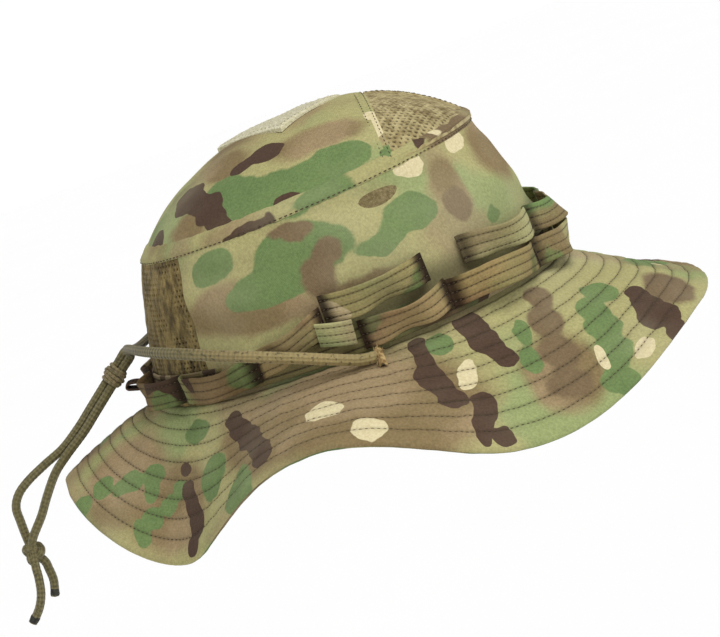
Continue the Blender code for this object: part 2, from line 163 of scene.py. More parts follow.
def catmull(points, count):
    """Evenly spaced points along a Catmull-Rom curve through points."""
    pts = np.asarray(points, dtype=float)
    dense = []
    for i in range(len(pts) - 1):
        p0, p1 = pts[max(i - 1, 0)], pts[i]
        p2, p3 = pts[i + 1], pts[min(i + 2, len(pts) - 1)]
        u = np.linspace(0, 1, 24, endpoint=False)[:, None]
        dense.append(0.5 * (2 * p1 + (p2 - p0) * u + (2 * p0 - 5 * p1 + 4 * p2 - p3) * u ** 2
                            + (3 * p1 - 3 * p2 + p3 - p0) * u ** 3))
    dense = np.vstack(dense + [pts[-1:]])
    return resample(dense, count)


def run_along(line):
    """Distance run along a line at each of its points."""
    return np.concatenate([[0.0], np.cumsum(np.linalg.norm(np.diff(line, axis=0), axis=1))])


def resample(line, count):
    run = run_along(line)
    want = np.linspace(0, run[-1], count)
    return np.stack([np.interp(want, run, line[:, i]) for i in range(line.shape[1])], axis=1)


def ringed(points):
    """Points with the first one repeated at the end."""
    return np.concatenate([points, points[:1]])


def line_length(line):
    return float(np.linalg.norm(np.diff(line, axis=0), axis=1).sum())


# Meshes --------------------------------------------------------------------------------------

def make_object(name, verts, faces, mat, body="hat", sharp=40):
    mesh = bpy.data.meshes.new(name)
    mesh.from_pydata(np.asarray(verts).tolist(), [], faces)
    obj = bpy.data.objects.new(name, mesh)
    bpy.context.scene.collection.objects.link(obj)
    mesh.materials.append(mat)
    mesh.shade_smooth()
    mesh.set_sharp_from_angle(angle=math.radians(sharp))
    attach(obj, body)
    return obj


def settle(obj, slot, *nodes):
    """Hide the frame's nodes that a piece stands for; obj and slot are not used."""
    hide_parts(*nodes)


def signed_volume(verts, quads):
    a, b, c, d = (verts[quads[:, i]] for i in range(4))
    return np.sum(np.cross(a, b) * c) + np.sum(np.cross(a, c) * d)


def sheet(name, outer, inner, mat, wrap=False, fields=None, body="hat", sharp=40):
    """Closed cloth solid between two grids, with UVs in millimetres and named point fields."""
    rows, cols = outer.shape[:2]
    verts = np.concatenate([outer.reshape(-1, 3), inner.reshape(-1, 3)])
    low = rows * cols
    spans = cols if wrap else cols - 1
    r, c = np.meshgrid(np.arange(rows - 1), np.arange(spans), indexing="ij")
    d = (c + 1) % cols
    row, after = r * cols, (r + 1) * cols
    top = np.stack([row + c, row + d, after + d, after + c], -1).reshape(-1, 4)
    under = top[:, ::-1] + low
    uv_c = np.stack([c, c + 1, c + 1, c], -1).reshape(-1, 4)
    uv_r = np.stack([r, r, r + 1, r + 1], -1).reshape(-1, 4)
    quads = [top, under]
    spots = [(uv_r, uv_c), (uv_r[:, ::-1], uv_c[:, ::-1])]
    k = np.arange(spans)
    m = (k + 1) % cols
    for row, order in ((0, 1), (rows - 1, -1)):
        base = row * cols
        rim = np.stack([base + k, base + k + low, base + m + low, base + m], -1)[:, ::order]
        quads.append(rim)
        spots.append((np.full((spans, 4), row), np.stack([k, k, k + 1, k + 1], -1)[:, ::order]))
    if not wrap:
        k = np.arange(rows - 1)
        for col, order in ((0, -1), (cols - 1, 1)):
            rim = np.stack([k * cols + col, k * cols + col + low, (k + 1) * cols + col + low,
                            (k + 1) * cols + col], -1)[:, ::order]
            quads.append(rim)
            spots.append((np.stack([k, k, k + 1, k + 1], -1)[:, ::order], np.full((rows - 1, 4), col)))
    quads = np.concatenate(quads)
    uv_r = np.concatenate([s[0] for s in spots])
    uv_c = np.concatenate([s[1] for s in spots])
    if signed_volume(verts, quads) < 0:
        quads, uv_r, uv_c = quads[:, ::-1], uv_r[:, ::-1], uv_c[:, ::-1]
    obj = make_object(name, verts, quads.tolist(), mat, body, sharp)
    step_u = np.linalg.norm(np.diff(outer, axis=1), axis=2).mean() / MM
    step_v = np.linalg.norm(np.diff(outer, axis=0), axis=2).mean() / MM
    uv = obj.data.uv_layers.new(name="cloth")
    flat = np.stack([uv_c * step_u, uv_r * step_v], -1).reshape(-1, 2).astype(np.float32)
    uv.data.foreach_set("uv", flat.ravel())
    for label, values in (fields or {}).items():
        attribute = obj.data.attributes.new(label, "FLOAT", "POINT")
        both = np.concatenate([values.ravel(), 0.5 * values.ravel()]).astype(np.float32)
        attribute.data.foreach_set("value", both)
    return obj


def shift_pattern(obj, shift):
    """Vector field that moves the print on a separately cut piece."""
    attribute = obj.data.attributes.new("print_shift", "FLOAT_VECTOR", "POINT")
    values = np.tile(np.asarray(shift, dtype=np.float32), len(obj.data.vertices))
    attribute.data.foreach_set("vector", values)


def stitching(name, paths, mat, pitch=2.6 * MM, length=1.9 * MM, radius=0.24 * MM):
    """Rows of thread dashes; paths are (points, normals) pairs, closed when the ends meet."""
    verts, faces = [], []
    count = 0
    stations = np.array([-0.5, -0.2, 0.2, 0.5])
    lift = np.array([-0.9, 0.55, 0.55, -0.9]) * radius
    swell = np.array([0.55, 1.0, 1.0, 0.55]) * radius
    for points, normals in paths:
        run = run_along(points)
        dashes = int(run[-1] / pitch)
        if dashes < 1:
            continue
        centre = (np.arange(dashes) + 0.5) * run[-1] / dashes
        at = centre[:, None] + stations[None, :] * length
        p = np.stack([np.interp(at, run, points[:, i]) for i in range(3)], -1)
        n = unit(np.stack([np.interp(at, run, normals[:, i]) for i in range(3)], -1))
        ahead = unit(p[:, -1] - p[:, 0])[:, None, :]
        side = unit(np.cross(ahead, n))
        p = p + n * lift[None, :, None]
        ring = []
        for k in range(4):
            angle = math.tau * k / 4
            ring.append(p + (side * math.cos(angle) + n * math.sin(angle) * 0.8) * swell[None, :, None])
        block = np.stack(ring, axis=2).reshape(-1, 3)
        verts.append(block)
        one = []
        for s in range(3):
            for k in range(4):
                m = (k + 1) % 4
                one.append((s * 4 + k, s * 4 + m, (s + 1) * 4 + m, (s + 1) * 4 + k))
        one.append((3, 2, 1, 0))
        one.append((12, 13, 14, 15))
        one = np.array(one)
        faces.append((one[None] + count + 16 * np.arange(dashes)[:, None, None]).reshape(-1, 4))
        count += 16 * dashes
    rows = make_object(name, np.concatenate(verts), np.concatenate(faces).tolist(), mat, sharp=180)


def tube_frames(line):
    """Tangent and two steady cross directions along a line of points."""
    tangent = unit(np.gradient(line, axis=0))
    side = np.zeros_like(line)
    start = np.array([0.0, 0.0, 1.0])
    if abs(tangent[0][2]) > 0.9:
        start = np.array([0.0, 1.0, 0.0])
    s = start - tangent[0] * np.dot(start, tangent[0])
    side[0] = s / np.linalg.norm(s)
    for i in range(1, len(line)):
        s = side[i - 1] - tangent[i] * np.dot(side[i - 1], tangent[i])
        side[i] = s / np.linalg.norm(s)
    return tangent, side, np.cross(tangent, side)


def tube(name, line, radius, mat, sides=12, body="hat", closed=False, relief=None, taper=0.0):
    """Round tube along line with UVs (turns, millimetres along). relief(turn, along) adds to radius."""
    line = np.asarray(line)
    n = len(line)
    tangent, side, up = tube_frames(line)
    if closed:
        tangent = unit(np.roll(line, -1, axis=0) - np.roll(line, 1, axis=0))
        middle = line.mean(axis=0)
        side = unit(line - middle)
        side = unit(side - tangent * np.sum(side * tangent, axis=1, keepdims=True))
        up = np.cross(tangent, side)
    run = run_along(line)
    turn = np.arange(sides) / sides
    angle = turn * math.tau
    r = np.full((n, sides), radius)
    if relief is not None:
        r = r + relief(turn[None, :], run[:, None])
    if taper:
        ends = np.minimum(run, run[-1] - run) / taper
        r = r * np.where(ends > 1, 1.0, np.sqrt(np.clip(ends * (2 - ends), 0.06, 1.0)))[:, None]
    ring = line[:, None, :] + (side[:, None, :] * np.cos(angle)[None, :, None]
                               + up[:, None, :] * np.sin(angle)[None, :, None]) * r[..., None]
    verts = ring.reshape(-1, 3)
    spans = n if closed else n - 1
    i, k = np.meshgrid(np.arange(spans), np.arange(sides), indexing="ij")
    j, m = (i + 1) % n, (k + 1) % sides
    quads = np.stack([i * sides + k, i * sides + m, j * sides + m, j * sides + k], -1).reshape(-1, 4)
    total = run[-1] if not closed else run[-1] * n / (n - 1)
    reach = np.append(run, total) / MM
    turns = np.stack([k, k + 1, k + 1, k], -1) / sides
    uv = np.stack([turns, reach[np.stack([i, i, i + 1, i + 1], -1)]], -1)
    faces = quads.tolist()
    loops = uv.reshape(-1, 2)
    if not closed:
        caps = [list(range(sides))[::-1], [(n - 1) * sides + q for q in range(sides)]]
        faces += caps
        loops = np.concatenate([loops, np.zeros((2 * sides, 2))])
    obj = make_object(name, verts, faces, mat, body, 60)
    layer = obj.data.uv_layers.new(name="cloth")
    layer.data.foreach_set("uv", loops.astype(np.float32).ravel())
    return obj


def merge(name, objects):
    """Join several pieces that share a body into one."""
    bpy.ops.object.select_all(action="DESELECT")
    for obj in objects:
        obj.select_set(True)
    bpy.context.view_layer.objects.active = objects[0]
    bpy.ops.object.join()
    joined = bpy.context.view_layer.objects.active
    joined.name = name
    joined.data.name = name
    return joined


# Materials -----------------------------------------------------------------------------------

def rgb(r, g, b):
    """Linear colour from display values out of 255."""
    out = []
    for value in (r, g, b):
        c = value / 255
        out.append(c / 12.92 if c < 0.04045 else ((c + 0.055) / 1.055) ** 2.4)
    return (*out, 1.0)


KHAKI, TAN = rgb(166, 160, 110), rgb(130, 112, 78)
PALE_GREEN, GREEN, DEEP_GREEN = rgb(146, 156, 104), rgb(118, 138, 86), rgb(96, 118, 72)
ROSE_TAN, BROWN, DARK_BROWN = rgb(152, 132, 99), rgb(118, 100, 74), rgb(80, 62, 50)
CREAM = rgb(212, 199, 158)


class Graph:
    """Short words for building one material's nodes."""

    def __init__(self, name):
        self.mat = bpy.data.materials.new(name)
        self.mat.use_nodes = True
        self.tree = self.mat.node_tree
        self.shader = self.tree.nodes["Principled BSDF"]

    def node(self, kind, **settings):
        node = self.tree.nodes.new(kind)
        for key, value in settings.items():
            setattr(node, key, value)
        return node

    def feed(self, socket, value):
        if isinstance(value, bpy.types.NodeSocket):
            self.tree.links.new(value, socket)
        elif value is not None:
            socket.default_value = value

    def math(self, operation, a, b=None, c=None, clamp=False):
        node = self.node("ShaderNodeMath", operation=operation, use_clamp=clamp)
        for socket, value in zip(node.inputs, (a, b, c)):
            self.feed(socket, value)
        return node.outputs[0]

    def vector(self, operation, a, b=None, scale=None):
        node = self.node("ShaderNodeVectorMath", operation=operation)
        self.feed(node.inputs[0], a)
        self.feed(node.inputs[1], b)
        if scale is not None:
            self.feed(node.inputs["Scale"], scale)
        return node.outputs["Value"] if operation in ("LENGTH", "DOT_PRODUCT") else node.outputs[0]

    def mix(self, share, a, b, blend="MIX"):
        node = self.node("ShaderNodeMix", data_type="RGBA", blend_type=blend)
        self.feed(node.inputs[0], share)
        self.feed(node.inputs[6], a)
        self.feed(node.inputs[7], b)
        return node.outputs[2]

    def step(self, value, low, high):
        node = self.node("ShaderNodeMapRange", interpolation_type="SMOOTHSTEP")
        self.feed(node.inputs["Value"], value)
        node.inputs["From Min"].default_value = low
        node.inputs["From Max"].default_value = high
        return node.outputs[0]

    def noise(self, point, scale, detail=2.0, rough=0.5, distortion=0.0, colour=False):
        node = self.node("ShaderNodeTexNoise")
        self.feed(node.inputs["Vector"], point)
        node.inputs["Scale"].default_value = scale
        node.inputs["Detail"].default_value = detail
        node.inputs["Roughness"].default_value = rough
        node.inputs["Distortion"].default_value = distortion
        return node.outputs[1 if colour else 0]

    def place(self):
        return self.node("ShaderNodeTexCoord").outputs["Object"]

    def cloth_uv(self):
        node = self.node("ShaderNodeUVMap", uv_map="cloth")
        split = self.node("ShaderNodeSeparateXYZ")
        self.feed(split.inputs[0], node.outputs[0])
        return split.outputs[0], split.outputs[1]

    def field(self, name, output="Fac"):
        return self.node("ShaderNodeAttribute", attribute_name=name).outputs[output]

    def bump(self, height, strength, distance, under=None):
        node = self.node("ShaderNodeBump")
        node.inputs["Strength"].default_value = strength
        node.inputs["Distance"].default_value = distance
        self.feed(node.inputs["Height"], height)
        if under is not None:
            self.feed(node.inputs["Normal"], under)
        return node.outputs[0]

    def weave(self, pitch, twill=0.0):
        """Height of an over-and-under weave, pitch in millimetres."""
        u, v = self.cloth_uv()
        k = math.tau / pitch
        warp = self.math("SINE", self.math("MULTIPLY_ADD", u, k, self.math("MULTIPLY", v, k * twill)))
        weft = self.math("SINE", self.math("MULTIPLY", v, k))
        return self.math("MULTIPLY_ADD", warp, 0.5, self.math("MULTIPLY", weft, 0.5))

    def finish(self, colour, roughness, normal, sheen=0.0, specular=0.25):
        self.feed(self.shader.inputs["Base Color"], colour)
        self.feed(self.shader.inputs["Roughness"], roughness)
        self.shader.inputs["Metallic"].default_value = 0.0
        self.shader.inputs["Specular IOR Level"].default_value = specular
        self.shader.inputs["Sheen Weight"].default_value = sheen
        self.shader.inputs["Sheen Roughness"].default_value = 0.5
        self.feed(self.shader.inputs["Normal"], normal)
        return self.mat


# Main shapes of the print on the wearer's right: x, y, z and three radii in millimetres. Most of the
# places come from points picked in the photo, which a helper script turned into places on the hat
CROWN_SHAPES = {
    "green": ((-10, -63, 79, 33, 16, 13), (-36, -49, 83, 21, 16, 12), (18, -60, 84, 15, 10, 8),
        (38, -70, 50, 17, 9, 8), (22, -76, 44, 12, 9, 6), (-12, -75, 52, 24, 12, 14),
        (-34, -74, 42, 22, 12, 9), (-52, -60, 58, 13, 12, 8), (70, -48, 34, 7, 8, 6)),
    "tan": ((12, -44, 94, 24, 12, 8), (-34, -30, 96, 14, 14, 8), (61, -56, 54, 10, 10, 16),
        (-56, -40, 74, 12, 14, 8), (2, -80, 28, 30, 10, 6), (86, -20, 60, 16, 20, 18),
        (-54, -64, 38, 24, 16, 12), (-36, -74, 30, 26, 12, 8)),
    "brown": ((-10, -78, 40, 9, 9, 11), (-2, -77, 50, 7, 8, 7), (-14, -74, 62, 12, 8, 4),
        (60, -57, 44, 8, 8, 9)),
    "dark": ((-13, -41, 97, 9, 7, 7), (-24, -41, 94, 7, 5, 5), (-51, -37, 85, 6, 8, 7),
        (-45, -54, 77, 6, 6, 6), (-55, -27, 88, 9, 9, 9), (-47, -46, 81, 9, 10, 9),
        (-43, -60, 72, 6, 6, 6), (-76, -25, 72, 6, 9, 12), (-11, -67, 76, 7, 6, 4)),
    "cream": ((45, -62, 69, 9, 8, 6), (71, -40, 71, 8, 8, 5)),
}
BRIM_SHAPES = {
    "green": ((108, -60, -16, 9, 9, 8), (100, -73, -21, 8, 8, 8), (101, -83, -27, 9, 9, 9),
        (101, -94, -36, 10, 10, 9), (97, -107, -46, 10, 10, 9), (66, -84, -15, 4, 8, 8),
        (65, -97, -26, 4, 8, 9), (-140, -38, -25, 7, 8, 5), (-127, -47, -25, 8, 8, 5),
        (-115, -54, -23, 7, 8, 6), (-117, -59, -29, 5, 6, 6), (-128, -66, -46, 5, 6, 7),
        (-120, -67, -40, 6, 6, 7), (-111, -70, -36, 6, 6, 6), (-103, -72, -31, 5, 6, 6),
        (-155, -38, -30, 8, 7, 6), (-92, -64, -8, 12, 9, 6), (-76, -122, -27, 12, 13, 12),
        (30, -92, -4, 7, 8, 6), (-88, -92, -20, 9, 14, 14)),
    "tan": ((-24, -112, -10, 46, 42, 24), (6, -126, -22, 40, 40, 26), (76, -104, -34, 18, 26, 20),
        (-128, -44, -24, 26, 28, 22), (-110, -75, -36, 26, 26, 22), (-64, -106, -12, 24, 30, 16)),
    "brown": ((140, -52, -26, 14, 24, 12), (80, -65, -8, 6, 9, 8), (78, -79, -16, 8, 10, 9),
        (77, -93, -27, 9, 10, 10), (76, -107, -39, 10, 10, 10)),
    "dark": ((20, -90, -4, 5, 7, 10), (20, -99, -9, 5, 7, 7), (19, -107, -15, 7, 10, 8),
        (23, -113, -20, 6, 7, 7), (48, -85, -8, 6, 7, 7), (53, -94, -17, 5, 6, 6),
        (36, -127, -38, 4, 7, 7), (125, -69, -29, 7, 8, 7), (-99, -84, -38, 4, 7, 6),
        (-66, -92, -11, 5, 8, 7), (-61, -110, -16, 5, 7, 6), (26, -119, -25, 8, 7, 8),
        (45, -80, -3, 7, 9, 8), (50, -90, -13, 8, 8, 7), (56, -97, -21, 6, 6, 5), (38, -120, -34, 5, 9, 9),
        (33, -133, -41, 4, 9, 9), (43, -134, -45, 6, 8, 5), (122, -60, -24, 6, 10, 8),
        (127, -77, -33, 11, 10, 7), (133, -88, -40, 6, 7, 6), (-99, -77, -32, 4, 8, 7),
        (-99, -92, -43, 6, 8, 8), (-105, -95, -51, 4, 6, 6), (-98, -67, -23, 3, 4, 4),
        (-69, -83, -9, 5, 10, 8), (-64, -101, -14, 7, 9, 7), (-59, -118, -17, 6, 8, 6)),
    "cream": ((-28, -119, -11, 9, 7, 7), (-12, -139, -20, 8, 8, 8), (94, -97, -36, 3, 8, 7),
        (116, -95, -40, 6, 7, 6), (36, -104, -20, 6, 16, 6)),
}


def spots(g, point, shapes):
    """Nearness to the closest shape: below 1 inside, merging softly where shapes meet."""
    nearest = None
    for shape in shapes:
        away = g.vector("SUBTRACT", point, tuple(c * MM for c in shape[:3]))
        away = g.vector("MULTIPLY", away, tuple(1 / (r * MM) for r in shape[3:]))
        distance = g.vector("LENGTH", away)
        nearest = distance if nearest is None else g.math("SMOOTH_MIN", nearest, distance, 0.5)
    return nearest


def camouflage(g, point, shapes=None, dense=0.0):
    """Layered print in soft and crisp shapes of a few tones; dense lets more brown and dark in."""
    drift = g.vector("SUBTRACT", g.noise(point, 26, 3.0, 0.55, colour=True), (0.5, 0.5, 0.5))
    fine = g.vector("SUBTRACT", g.noise(point, 75, 2.0, 0.5, colour=True), (0.5, 0.5, 0.5))
    fine = g.vector("SCALE", fine, scale=0.006)
    warped = g.vector("ADD", point, g.vector("SCALE", drift, scale=0.026))
    crisp = g.vector("ADD", warped, fine)
    near = g.vector("ADD", g.vector("ADD", point, g.vector("SCALE", drift, scale=0.012)), fine)
    far_side = 1.0
    if shapes:
        split = g.node("ShaderNodeSeparateXYZ")
        g.feed(split.inputs[0], point)
        far_side = g.step(split.outputs[1], -0.03, 0.0)

    def patch(offset, scale, low, high, detail=1.5, at=warped):
        moved = g.vector("ADD", at, offset)
        return g.step(g.noise(moved, scale, detail, 0.45), low, high)

    def placed(kind, mask, low, high):
        mask = g.math("MULTIPLY", mask, far_side)
        if not shapes:
            return mask
        inside = g.step(spots(g, near, shapes[kind]), low, high)
        return g.math("MAXIMUM", mask, g.math("SUBTRACT", 1.0, inside))

    tone = g.mix(patch((1.3, 0.4, 0.2), 16, 0.5, 0.62), KHAKI, PALE_GREEN)
    tone = g.mix(g.math("MULTIPLY", patch((2.1, 1.7, 0.4), 18, 0.54, 0.66), 0.7), tone, ROSE_TAN)
    tone = g.mix(placed("tan", patch((0.3, 0.1, 0.7), 13, 0.46, 0.56), 0.75, 1.25), tone,
                 g.mix(patch((4.4, 0.2, 0.9), 22, 0.45, 0.62), TAN, ROSE_TAN))
    green = g.mix(g.noise(point, 45, 2.0), GREEN, DEEP_GREEN)
    leaf = patch((3.7, 0.9, 1.1), 19, 0.575, 0.6, at=crisp)
    tone = g.mix(placed("green", leaf, 0.93, 1.04), tone, green)
    brown = patch((0.9, 2.8, 3.3), 20, 0.6 - dense, 0.68 - dense)
    tone = g.mix(placed("brown", brown, 0.85, 1.15), tone, BROWN)
    dark = patch((5.2, 3.1, 0.6), 25, 0.648 - dense, 0.655 - dense, at=crisp)
    tone = g.mix(placed("dark", dark, 0.97, 1.01), tone, DARK_BROWN)
    cream = patch((7.4, 1.9, 2.6), 26, 0.69, 0.698, at=crisp)
    return g.mix(placed("cream", cream, 0.97, 1.02), tone, CREAM)


def printed_cloth(name, weave=0.62, shapes=None, shifted=False, tint=None, groove=0.0, dense=0.0):
    """Matte ripstop cloth with the camouflage print, fine weave, grain and faded patches; groove sets the
    strength of painted shade laid on from the groove field.
    """
    g = Graph(name)
    point = g.place()
    if shifted:
        point = g.vector("ADD", point, g.field("print_shift", "Vector"))
    tone = camouflage(g, point, shapes, dense)
    grain = g.noise(point, 900, 2.0, 0.6)
    speckle = g.mix(g.step(grain, 0.25, 0.75), (0.25, 0.25, 0.25, 1), (0.78, 0.78, 0.78, 1))
    tone = g.mix(0.28, tone, speckle, "OVERLAY")
    faded = g.noise(point, 14, 3.0, 0.6)
    tone = g.mix(g.math("MULTIPLY", g.step(faded, 0.4, 0.8), 0.22), tone, rgb(196, 190, 160))
    # Painted shade: the groove field marks stitch grooves, tape ends and shaded tapes, the brim's edge at
    # the crown and the wall under the loops, and these darken towards a shadow brown
    if groove:
        dark = g.math("MULTIPLY", g.field("groove"), groove)
        tone = g.mix(dark, tone, rgb(50, 41, 30))
    # tint multiplies the colour: a tape tone, and on the brim's underside painted shade
    if tint:
        tone = g.mix(1.0, tone, (*tint, 1.0), "MULTIPLY")
    threads = g.weave(weave, 0.5)
    normal = g.bump(g.noise(point, 260, 3.0, 0.6), 0.35, 0.00035)
    normal = g.bump(threads, 0.45, 0.00012, normal)
    rough = g.math("MULTIPLY_ADD", g.noise(point, 60, 2.0), 0.12, 0.82)
    return g.finish(tone, rough, normal, sheen=0.03, specular=0.1)


def mesh_cloth(name, light, middle, dark):
    """Coyote perforated mesh: holes painted dark as the shade seen through them, streaky knit."""
    g = Graph(name)
    point = g.place()
    streak = g.noise(g.vector("MULTIPLY", point, (1.0, 1.0, 0.35)), 240, 3.0, 0.65)
    tone = g.mix(g.step(streak, 0.32, 0.68), dark, light)
    tone = g.mix(g.math("MULTIPLY", g.step(g.noise(point, 30, 2.0), 0.35, 0.7), 0.6), tone, middle)
    # Painted shade: the hole field darkens each perforation to the shade seen through it
    hole = g.field("hole")
    tone = g.mix(hole, tone, rgb(40, 33, 20))
    normal = g.bump(g.noise(point, 1100, 2.0, 0.6), 0.5, 0.0003)
    normal = g.bump(g.weave(0.8), 0.6, 0.00015, normal)
    return g.finish(tone, 0.86, normal, sheen=0.1, specular=0.12)


def braid_cloth(name, light, dark, fleck, worn):
    """Braided cord: crossing carriers in its own turns and length, paler towards the front."""
    g = Graph(name)
    turns, along = g.cloth_uv()
    left = g.math("SINE", g.math("MULTIPLY_ADD", turns, math.tau * 4, g.math("MULTIPLY", along, 1.4)))
    right = g.math("SINE", g.math("MULTIPLY_ADD", turns, math.tau * 4, g.math("MULTIPLY", along, -1.4)))
    relief = g.math("MULTIPLY", left, right)
    yarns = g.math("SINE", g.math("MULTIPLY", turns, math.tau * 24))
    point = g.place()
    tone = g.mix(g.step(g.math("MULTIPLY_ADD", yarns, 0.35, relief), -0.9, 0.8), dark, light)
    split = g.node("ShaderNodeSeparateXYZ")
    g.feed(split.inputs[0], point)
    tone = g.mix(g.step(split.outputs[0], -0.1, -0.03), tone, g.mix(0.55, tone, worn))
    tone = g.mix(g.math("MULTIPLY", g.step(g.noise(point, 620, 2.0), 0.56, 0.66), 0.65), tone, fleck)
    stain = g.math("MULTIPLY", g.step(g.noise(point, 30, 2.0), 0.4, 0.7), 0.45)
    tone = g.mix(stain, tone, rgb(96, 88, 48))
    normal = g.bump(relief, 0.7, 0.00022)
    normal = g.bump(g.noise(point, 1500, 1.0), 0.3, 0.0002, normal)
    return g.finish(tone, 0.62, normal, sheen=0.15, specular=0.3)


def plain_cloth(name, colour, dark, weave=0.7, sheen=0.15):
    g = Graph(name)
    point = g.place()
    tone = g.mix(g.step(g.noise(point, 700, 3.0, 0.65), 0.3, 0.7), dark, colour)
    tone = g.mix(g.math("MULTIPLY", g.step(g.noise(point, 24, 3.0), 0.4, 0.75), 0.35), tone, dark)
    normal = g.bump(g.noise(point, 800, 2.0, 0.6), 0.5, 0.0003)
    normal = g.bump(g.weave(weave), 0.5, 0.00015, normal)
    return g.finish(tone, 0.9, normal, sheen=sheen, specular=0.12)


def thread_material(name, colour, dark):
    g = Graph(name)
    point = g.place()
    tone = g.mix(g.step(g.noise(point, 500, 2.0), 0.35, 0.65), dark, colour)
    normal = g.bump(g.noise(point, 2600, 1.0), 0.4, 0.0001)
    return g.finish(tone, 0.7, normal, sheen=0.1, specular=0.2)


# Camera, light and floor ---------------------------------------------------------------------

def build_camera():
    data = bpy.data.cameras.new("camera")
    camera = bpy.data.objects.new("camera", data)
    bpy.context.scene.collection.objects.link(camera)
    el, az, roll = (math.radians(v) for v in (VIEW_ELEVATION, VIEW_AZIMUTH, VIEW_ROLL))
    back = Vector((-math.sin(az) * math.cos(el), -math.cos(az) * math.cos(el), math.sin(el)))
    right = Vector((math.cos(az), -math.sin(az), 0.0))
    up = back.cross(right)
    turned_right = right * math.cos(roll) - up * math.sin(roll)
    turned_up = up * math.cos(roll) + right * math.sin(roll)
    place = Matrix((turned_right, turned_up, back)).transposed().to_4x4()
    place.translation = VIEW_TARGET + back * VIEW_DISTANCE
    camera.matrix_world = place
    data.sensor_width = 36.0
    data.lens = data.sensor_width * VIEW_DISTANCE / FIELD_WIDTH
    data.clip_start, data.clip_end = 0.02, 20.0
    bpy.context.scene.camera = camera


def build_studio():
    """White horizon, dim zenith and one broad soft sun over a pale floor."""
    world = bpy.data.worlds.new("studio")
    world.use_nodes = True
    nodes, links = world.node_tree.nodes, world.node_tree.links
    place = nodes.new("ShaderNodeTexCoord")
    split = nodes.new("ShaderNodeSeparateXYZ")
    rise = nodes.new("ShaderNodeMath")
    rise.operation = "ABSOLUTE"
    fade = nodes.new("ShaderNodeMapRange")
    fade.interpolation_type = "SMOOTHSTEP"
    for label, value in (("From Min", 0.16), ("From Max", 0.34), ("To Min", 1.02), ("To Max", 0.34)):
        fade.inputs[label].default_value = value
    links.new(place.outputs["Generated"], split.inputs[0])
    links.new(split.outputs[2], rise.inputs[0])
    links.new(rise.outputs[0], fade.inputs["Value"])
    links.new(fade.outputs[0], nodes["Background"].inputs[1])
    nodes["Background"].inputs[0].default_value = (1.0, 1.0, 1.0, 1.0)
    bpy.context.scene.world = world
    bpy.context.scene.view_settings.view_transform = "Standard"

    data = bpy.data.lights.new("soft_sun", "SUN")
    data.energy = 2.35
    data.angle = math.radians(48)
    sun = bpy.data.objects.new("soft_sun", data)
    bpy.context.scene.collection.objects.link(sun)
    sun.rotation_euler = Vector((0.42, -0.5, 1.0)).to_track_quat("Z", "Y").to_euler()

    size, depth = 12.0, -0.6
    mesh = bpy.data.meshes.new("floor")
    corners = [(x * size, y * size, depth) for x, y in ((-1, -1), (1, -1), (1, 1), (-1, 1))]
    mesh.from_pydata(corners, [], [(0, 1, 2, 3)])
    floor = bpy.data.objects.new("floor", mesh)
    bpy.context.scene.collection.objects.link(floor)
    g = Graph("floor_paper")
    tone = g.mix(g.noise(g.place(), 3.0), (0.975, 0.975, 0.975, 1), (0.99, 0.99, 0.99, 1))
    grain = g.bump(g.noise(g.place(), 90.0), 0.05, 0.001)
    mesh.materials.append(g.finish(tone, 0.95, grain, specular=0.0))


# Chin cord -----------------------------------------------------------------------------------

PAIR_START = np.array([-111.5, 0.0, 25.4])
PAIR_END = np.array([-158.0, 0.0, -10.2])
PAIR_SPREAD = 1.62
SLIDER_ALONG = 11.4
KNOT_CENTRE = np.array([-190.5, 0.0, -49.5])
KNOT_SIZE = np.array([6.4, 5.6, 6.9])
FACE_GAP = 0.95

ARM = [(1.5, 94.2, -0.6), (-6, 95.4, 0.8), (-16, 96.2, 5), (-31, 95.8, 11.5), (-47, 92, 17.5),
       (-63, 84.5, 22.8), (-78, 73.5, 27.4)]
ARM_BACK = {-1: [(-91, 58.5, 30.2), (-100.5, 41, 31.4), (-106.2, 24.5, 31.4), (-109, 11.5, 29.6)],
            1: [(-91, 58.5, 26.8), (-100.5, 41, 24.6), (-106.4, 24.5, 24.0), (-109.4, 11.5, 25.4)]}
PAIR_SHARES = (-0.02, 0.1, 0.35, 0.55, 0.73)


def pair_axes():
    along = PAIR_END - PAIR_START
    along = along / np.linalg.norm(along)
    return along, np.array([along[2], 0.0, -along[0]])


def knot_port(direction):
    d = np.array(direction) / np.linalg.norm(direction)
    return tuple(KNOT_CENTRE + d * KNOT_SIZE + d * FACE_GAP)


RIGHT_TO_KNOT = [(-156.3, -1.7, -9.4), (-165.0, -1.7, -15.8), (-172.8, -1.8, -24.6),
                 (-179.4, -1.9, -33.2), knot_port((0.35, -0.35, 0.87))]
LEFT_TO_KNOT = [(-157.6, 2.0, -6.4), (-168.9, 2.2, -10.8), (-179.1, 2.2, -15.2), (-186.2, 2.2, -19.8),
                (-190.2, 2.3, -25.8), (-190.9, 2.4, -33.2), knot_port((-0.1, 0.4, 0.9))]
RIGHT_END = [knot_port((-0.2, -0.3, -0.93)), (-192.6, -2.2, -62.0), (-194.6, -2.2, -69.8),
             (-198.4, -2.0, -76.6), (-204.0, -1.6, -82.2)]
LEFT_END = [knot_port((0.4, 0.38, -0.83)), (-187.2, 2.9, -60.5), (-187.3, 3.0, -67.0),
            (-189.6, 3.0, -74.5)]


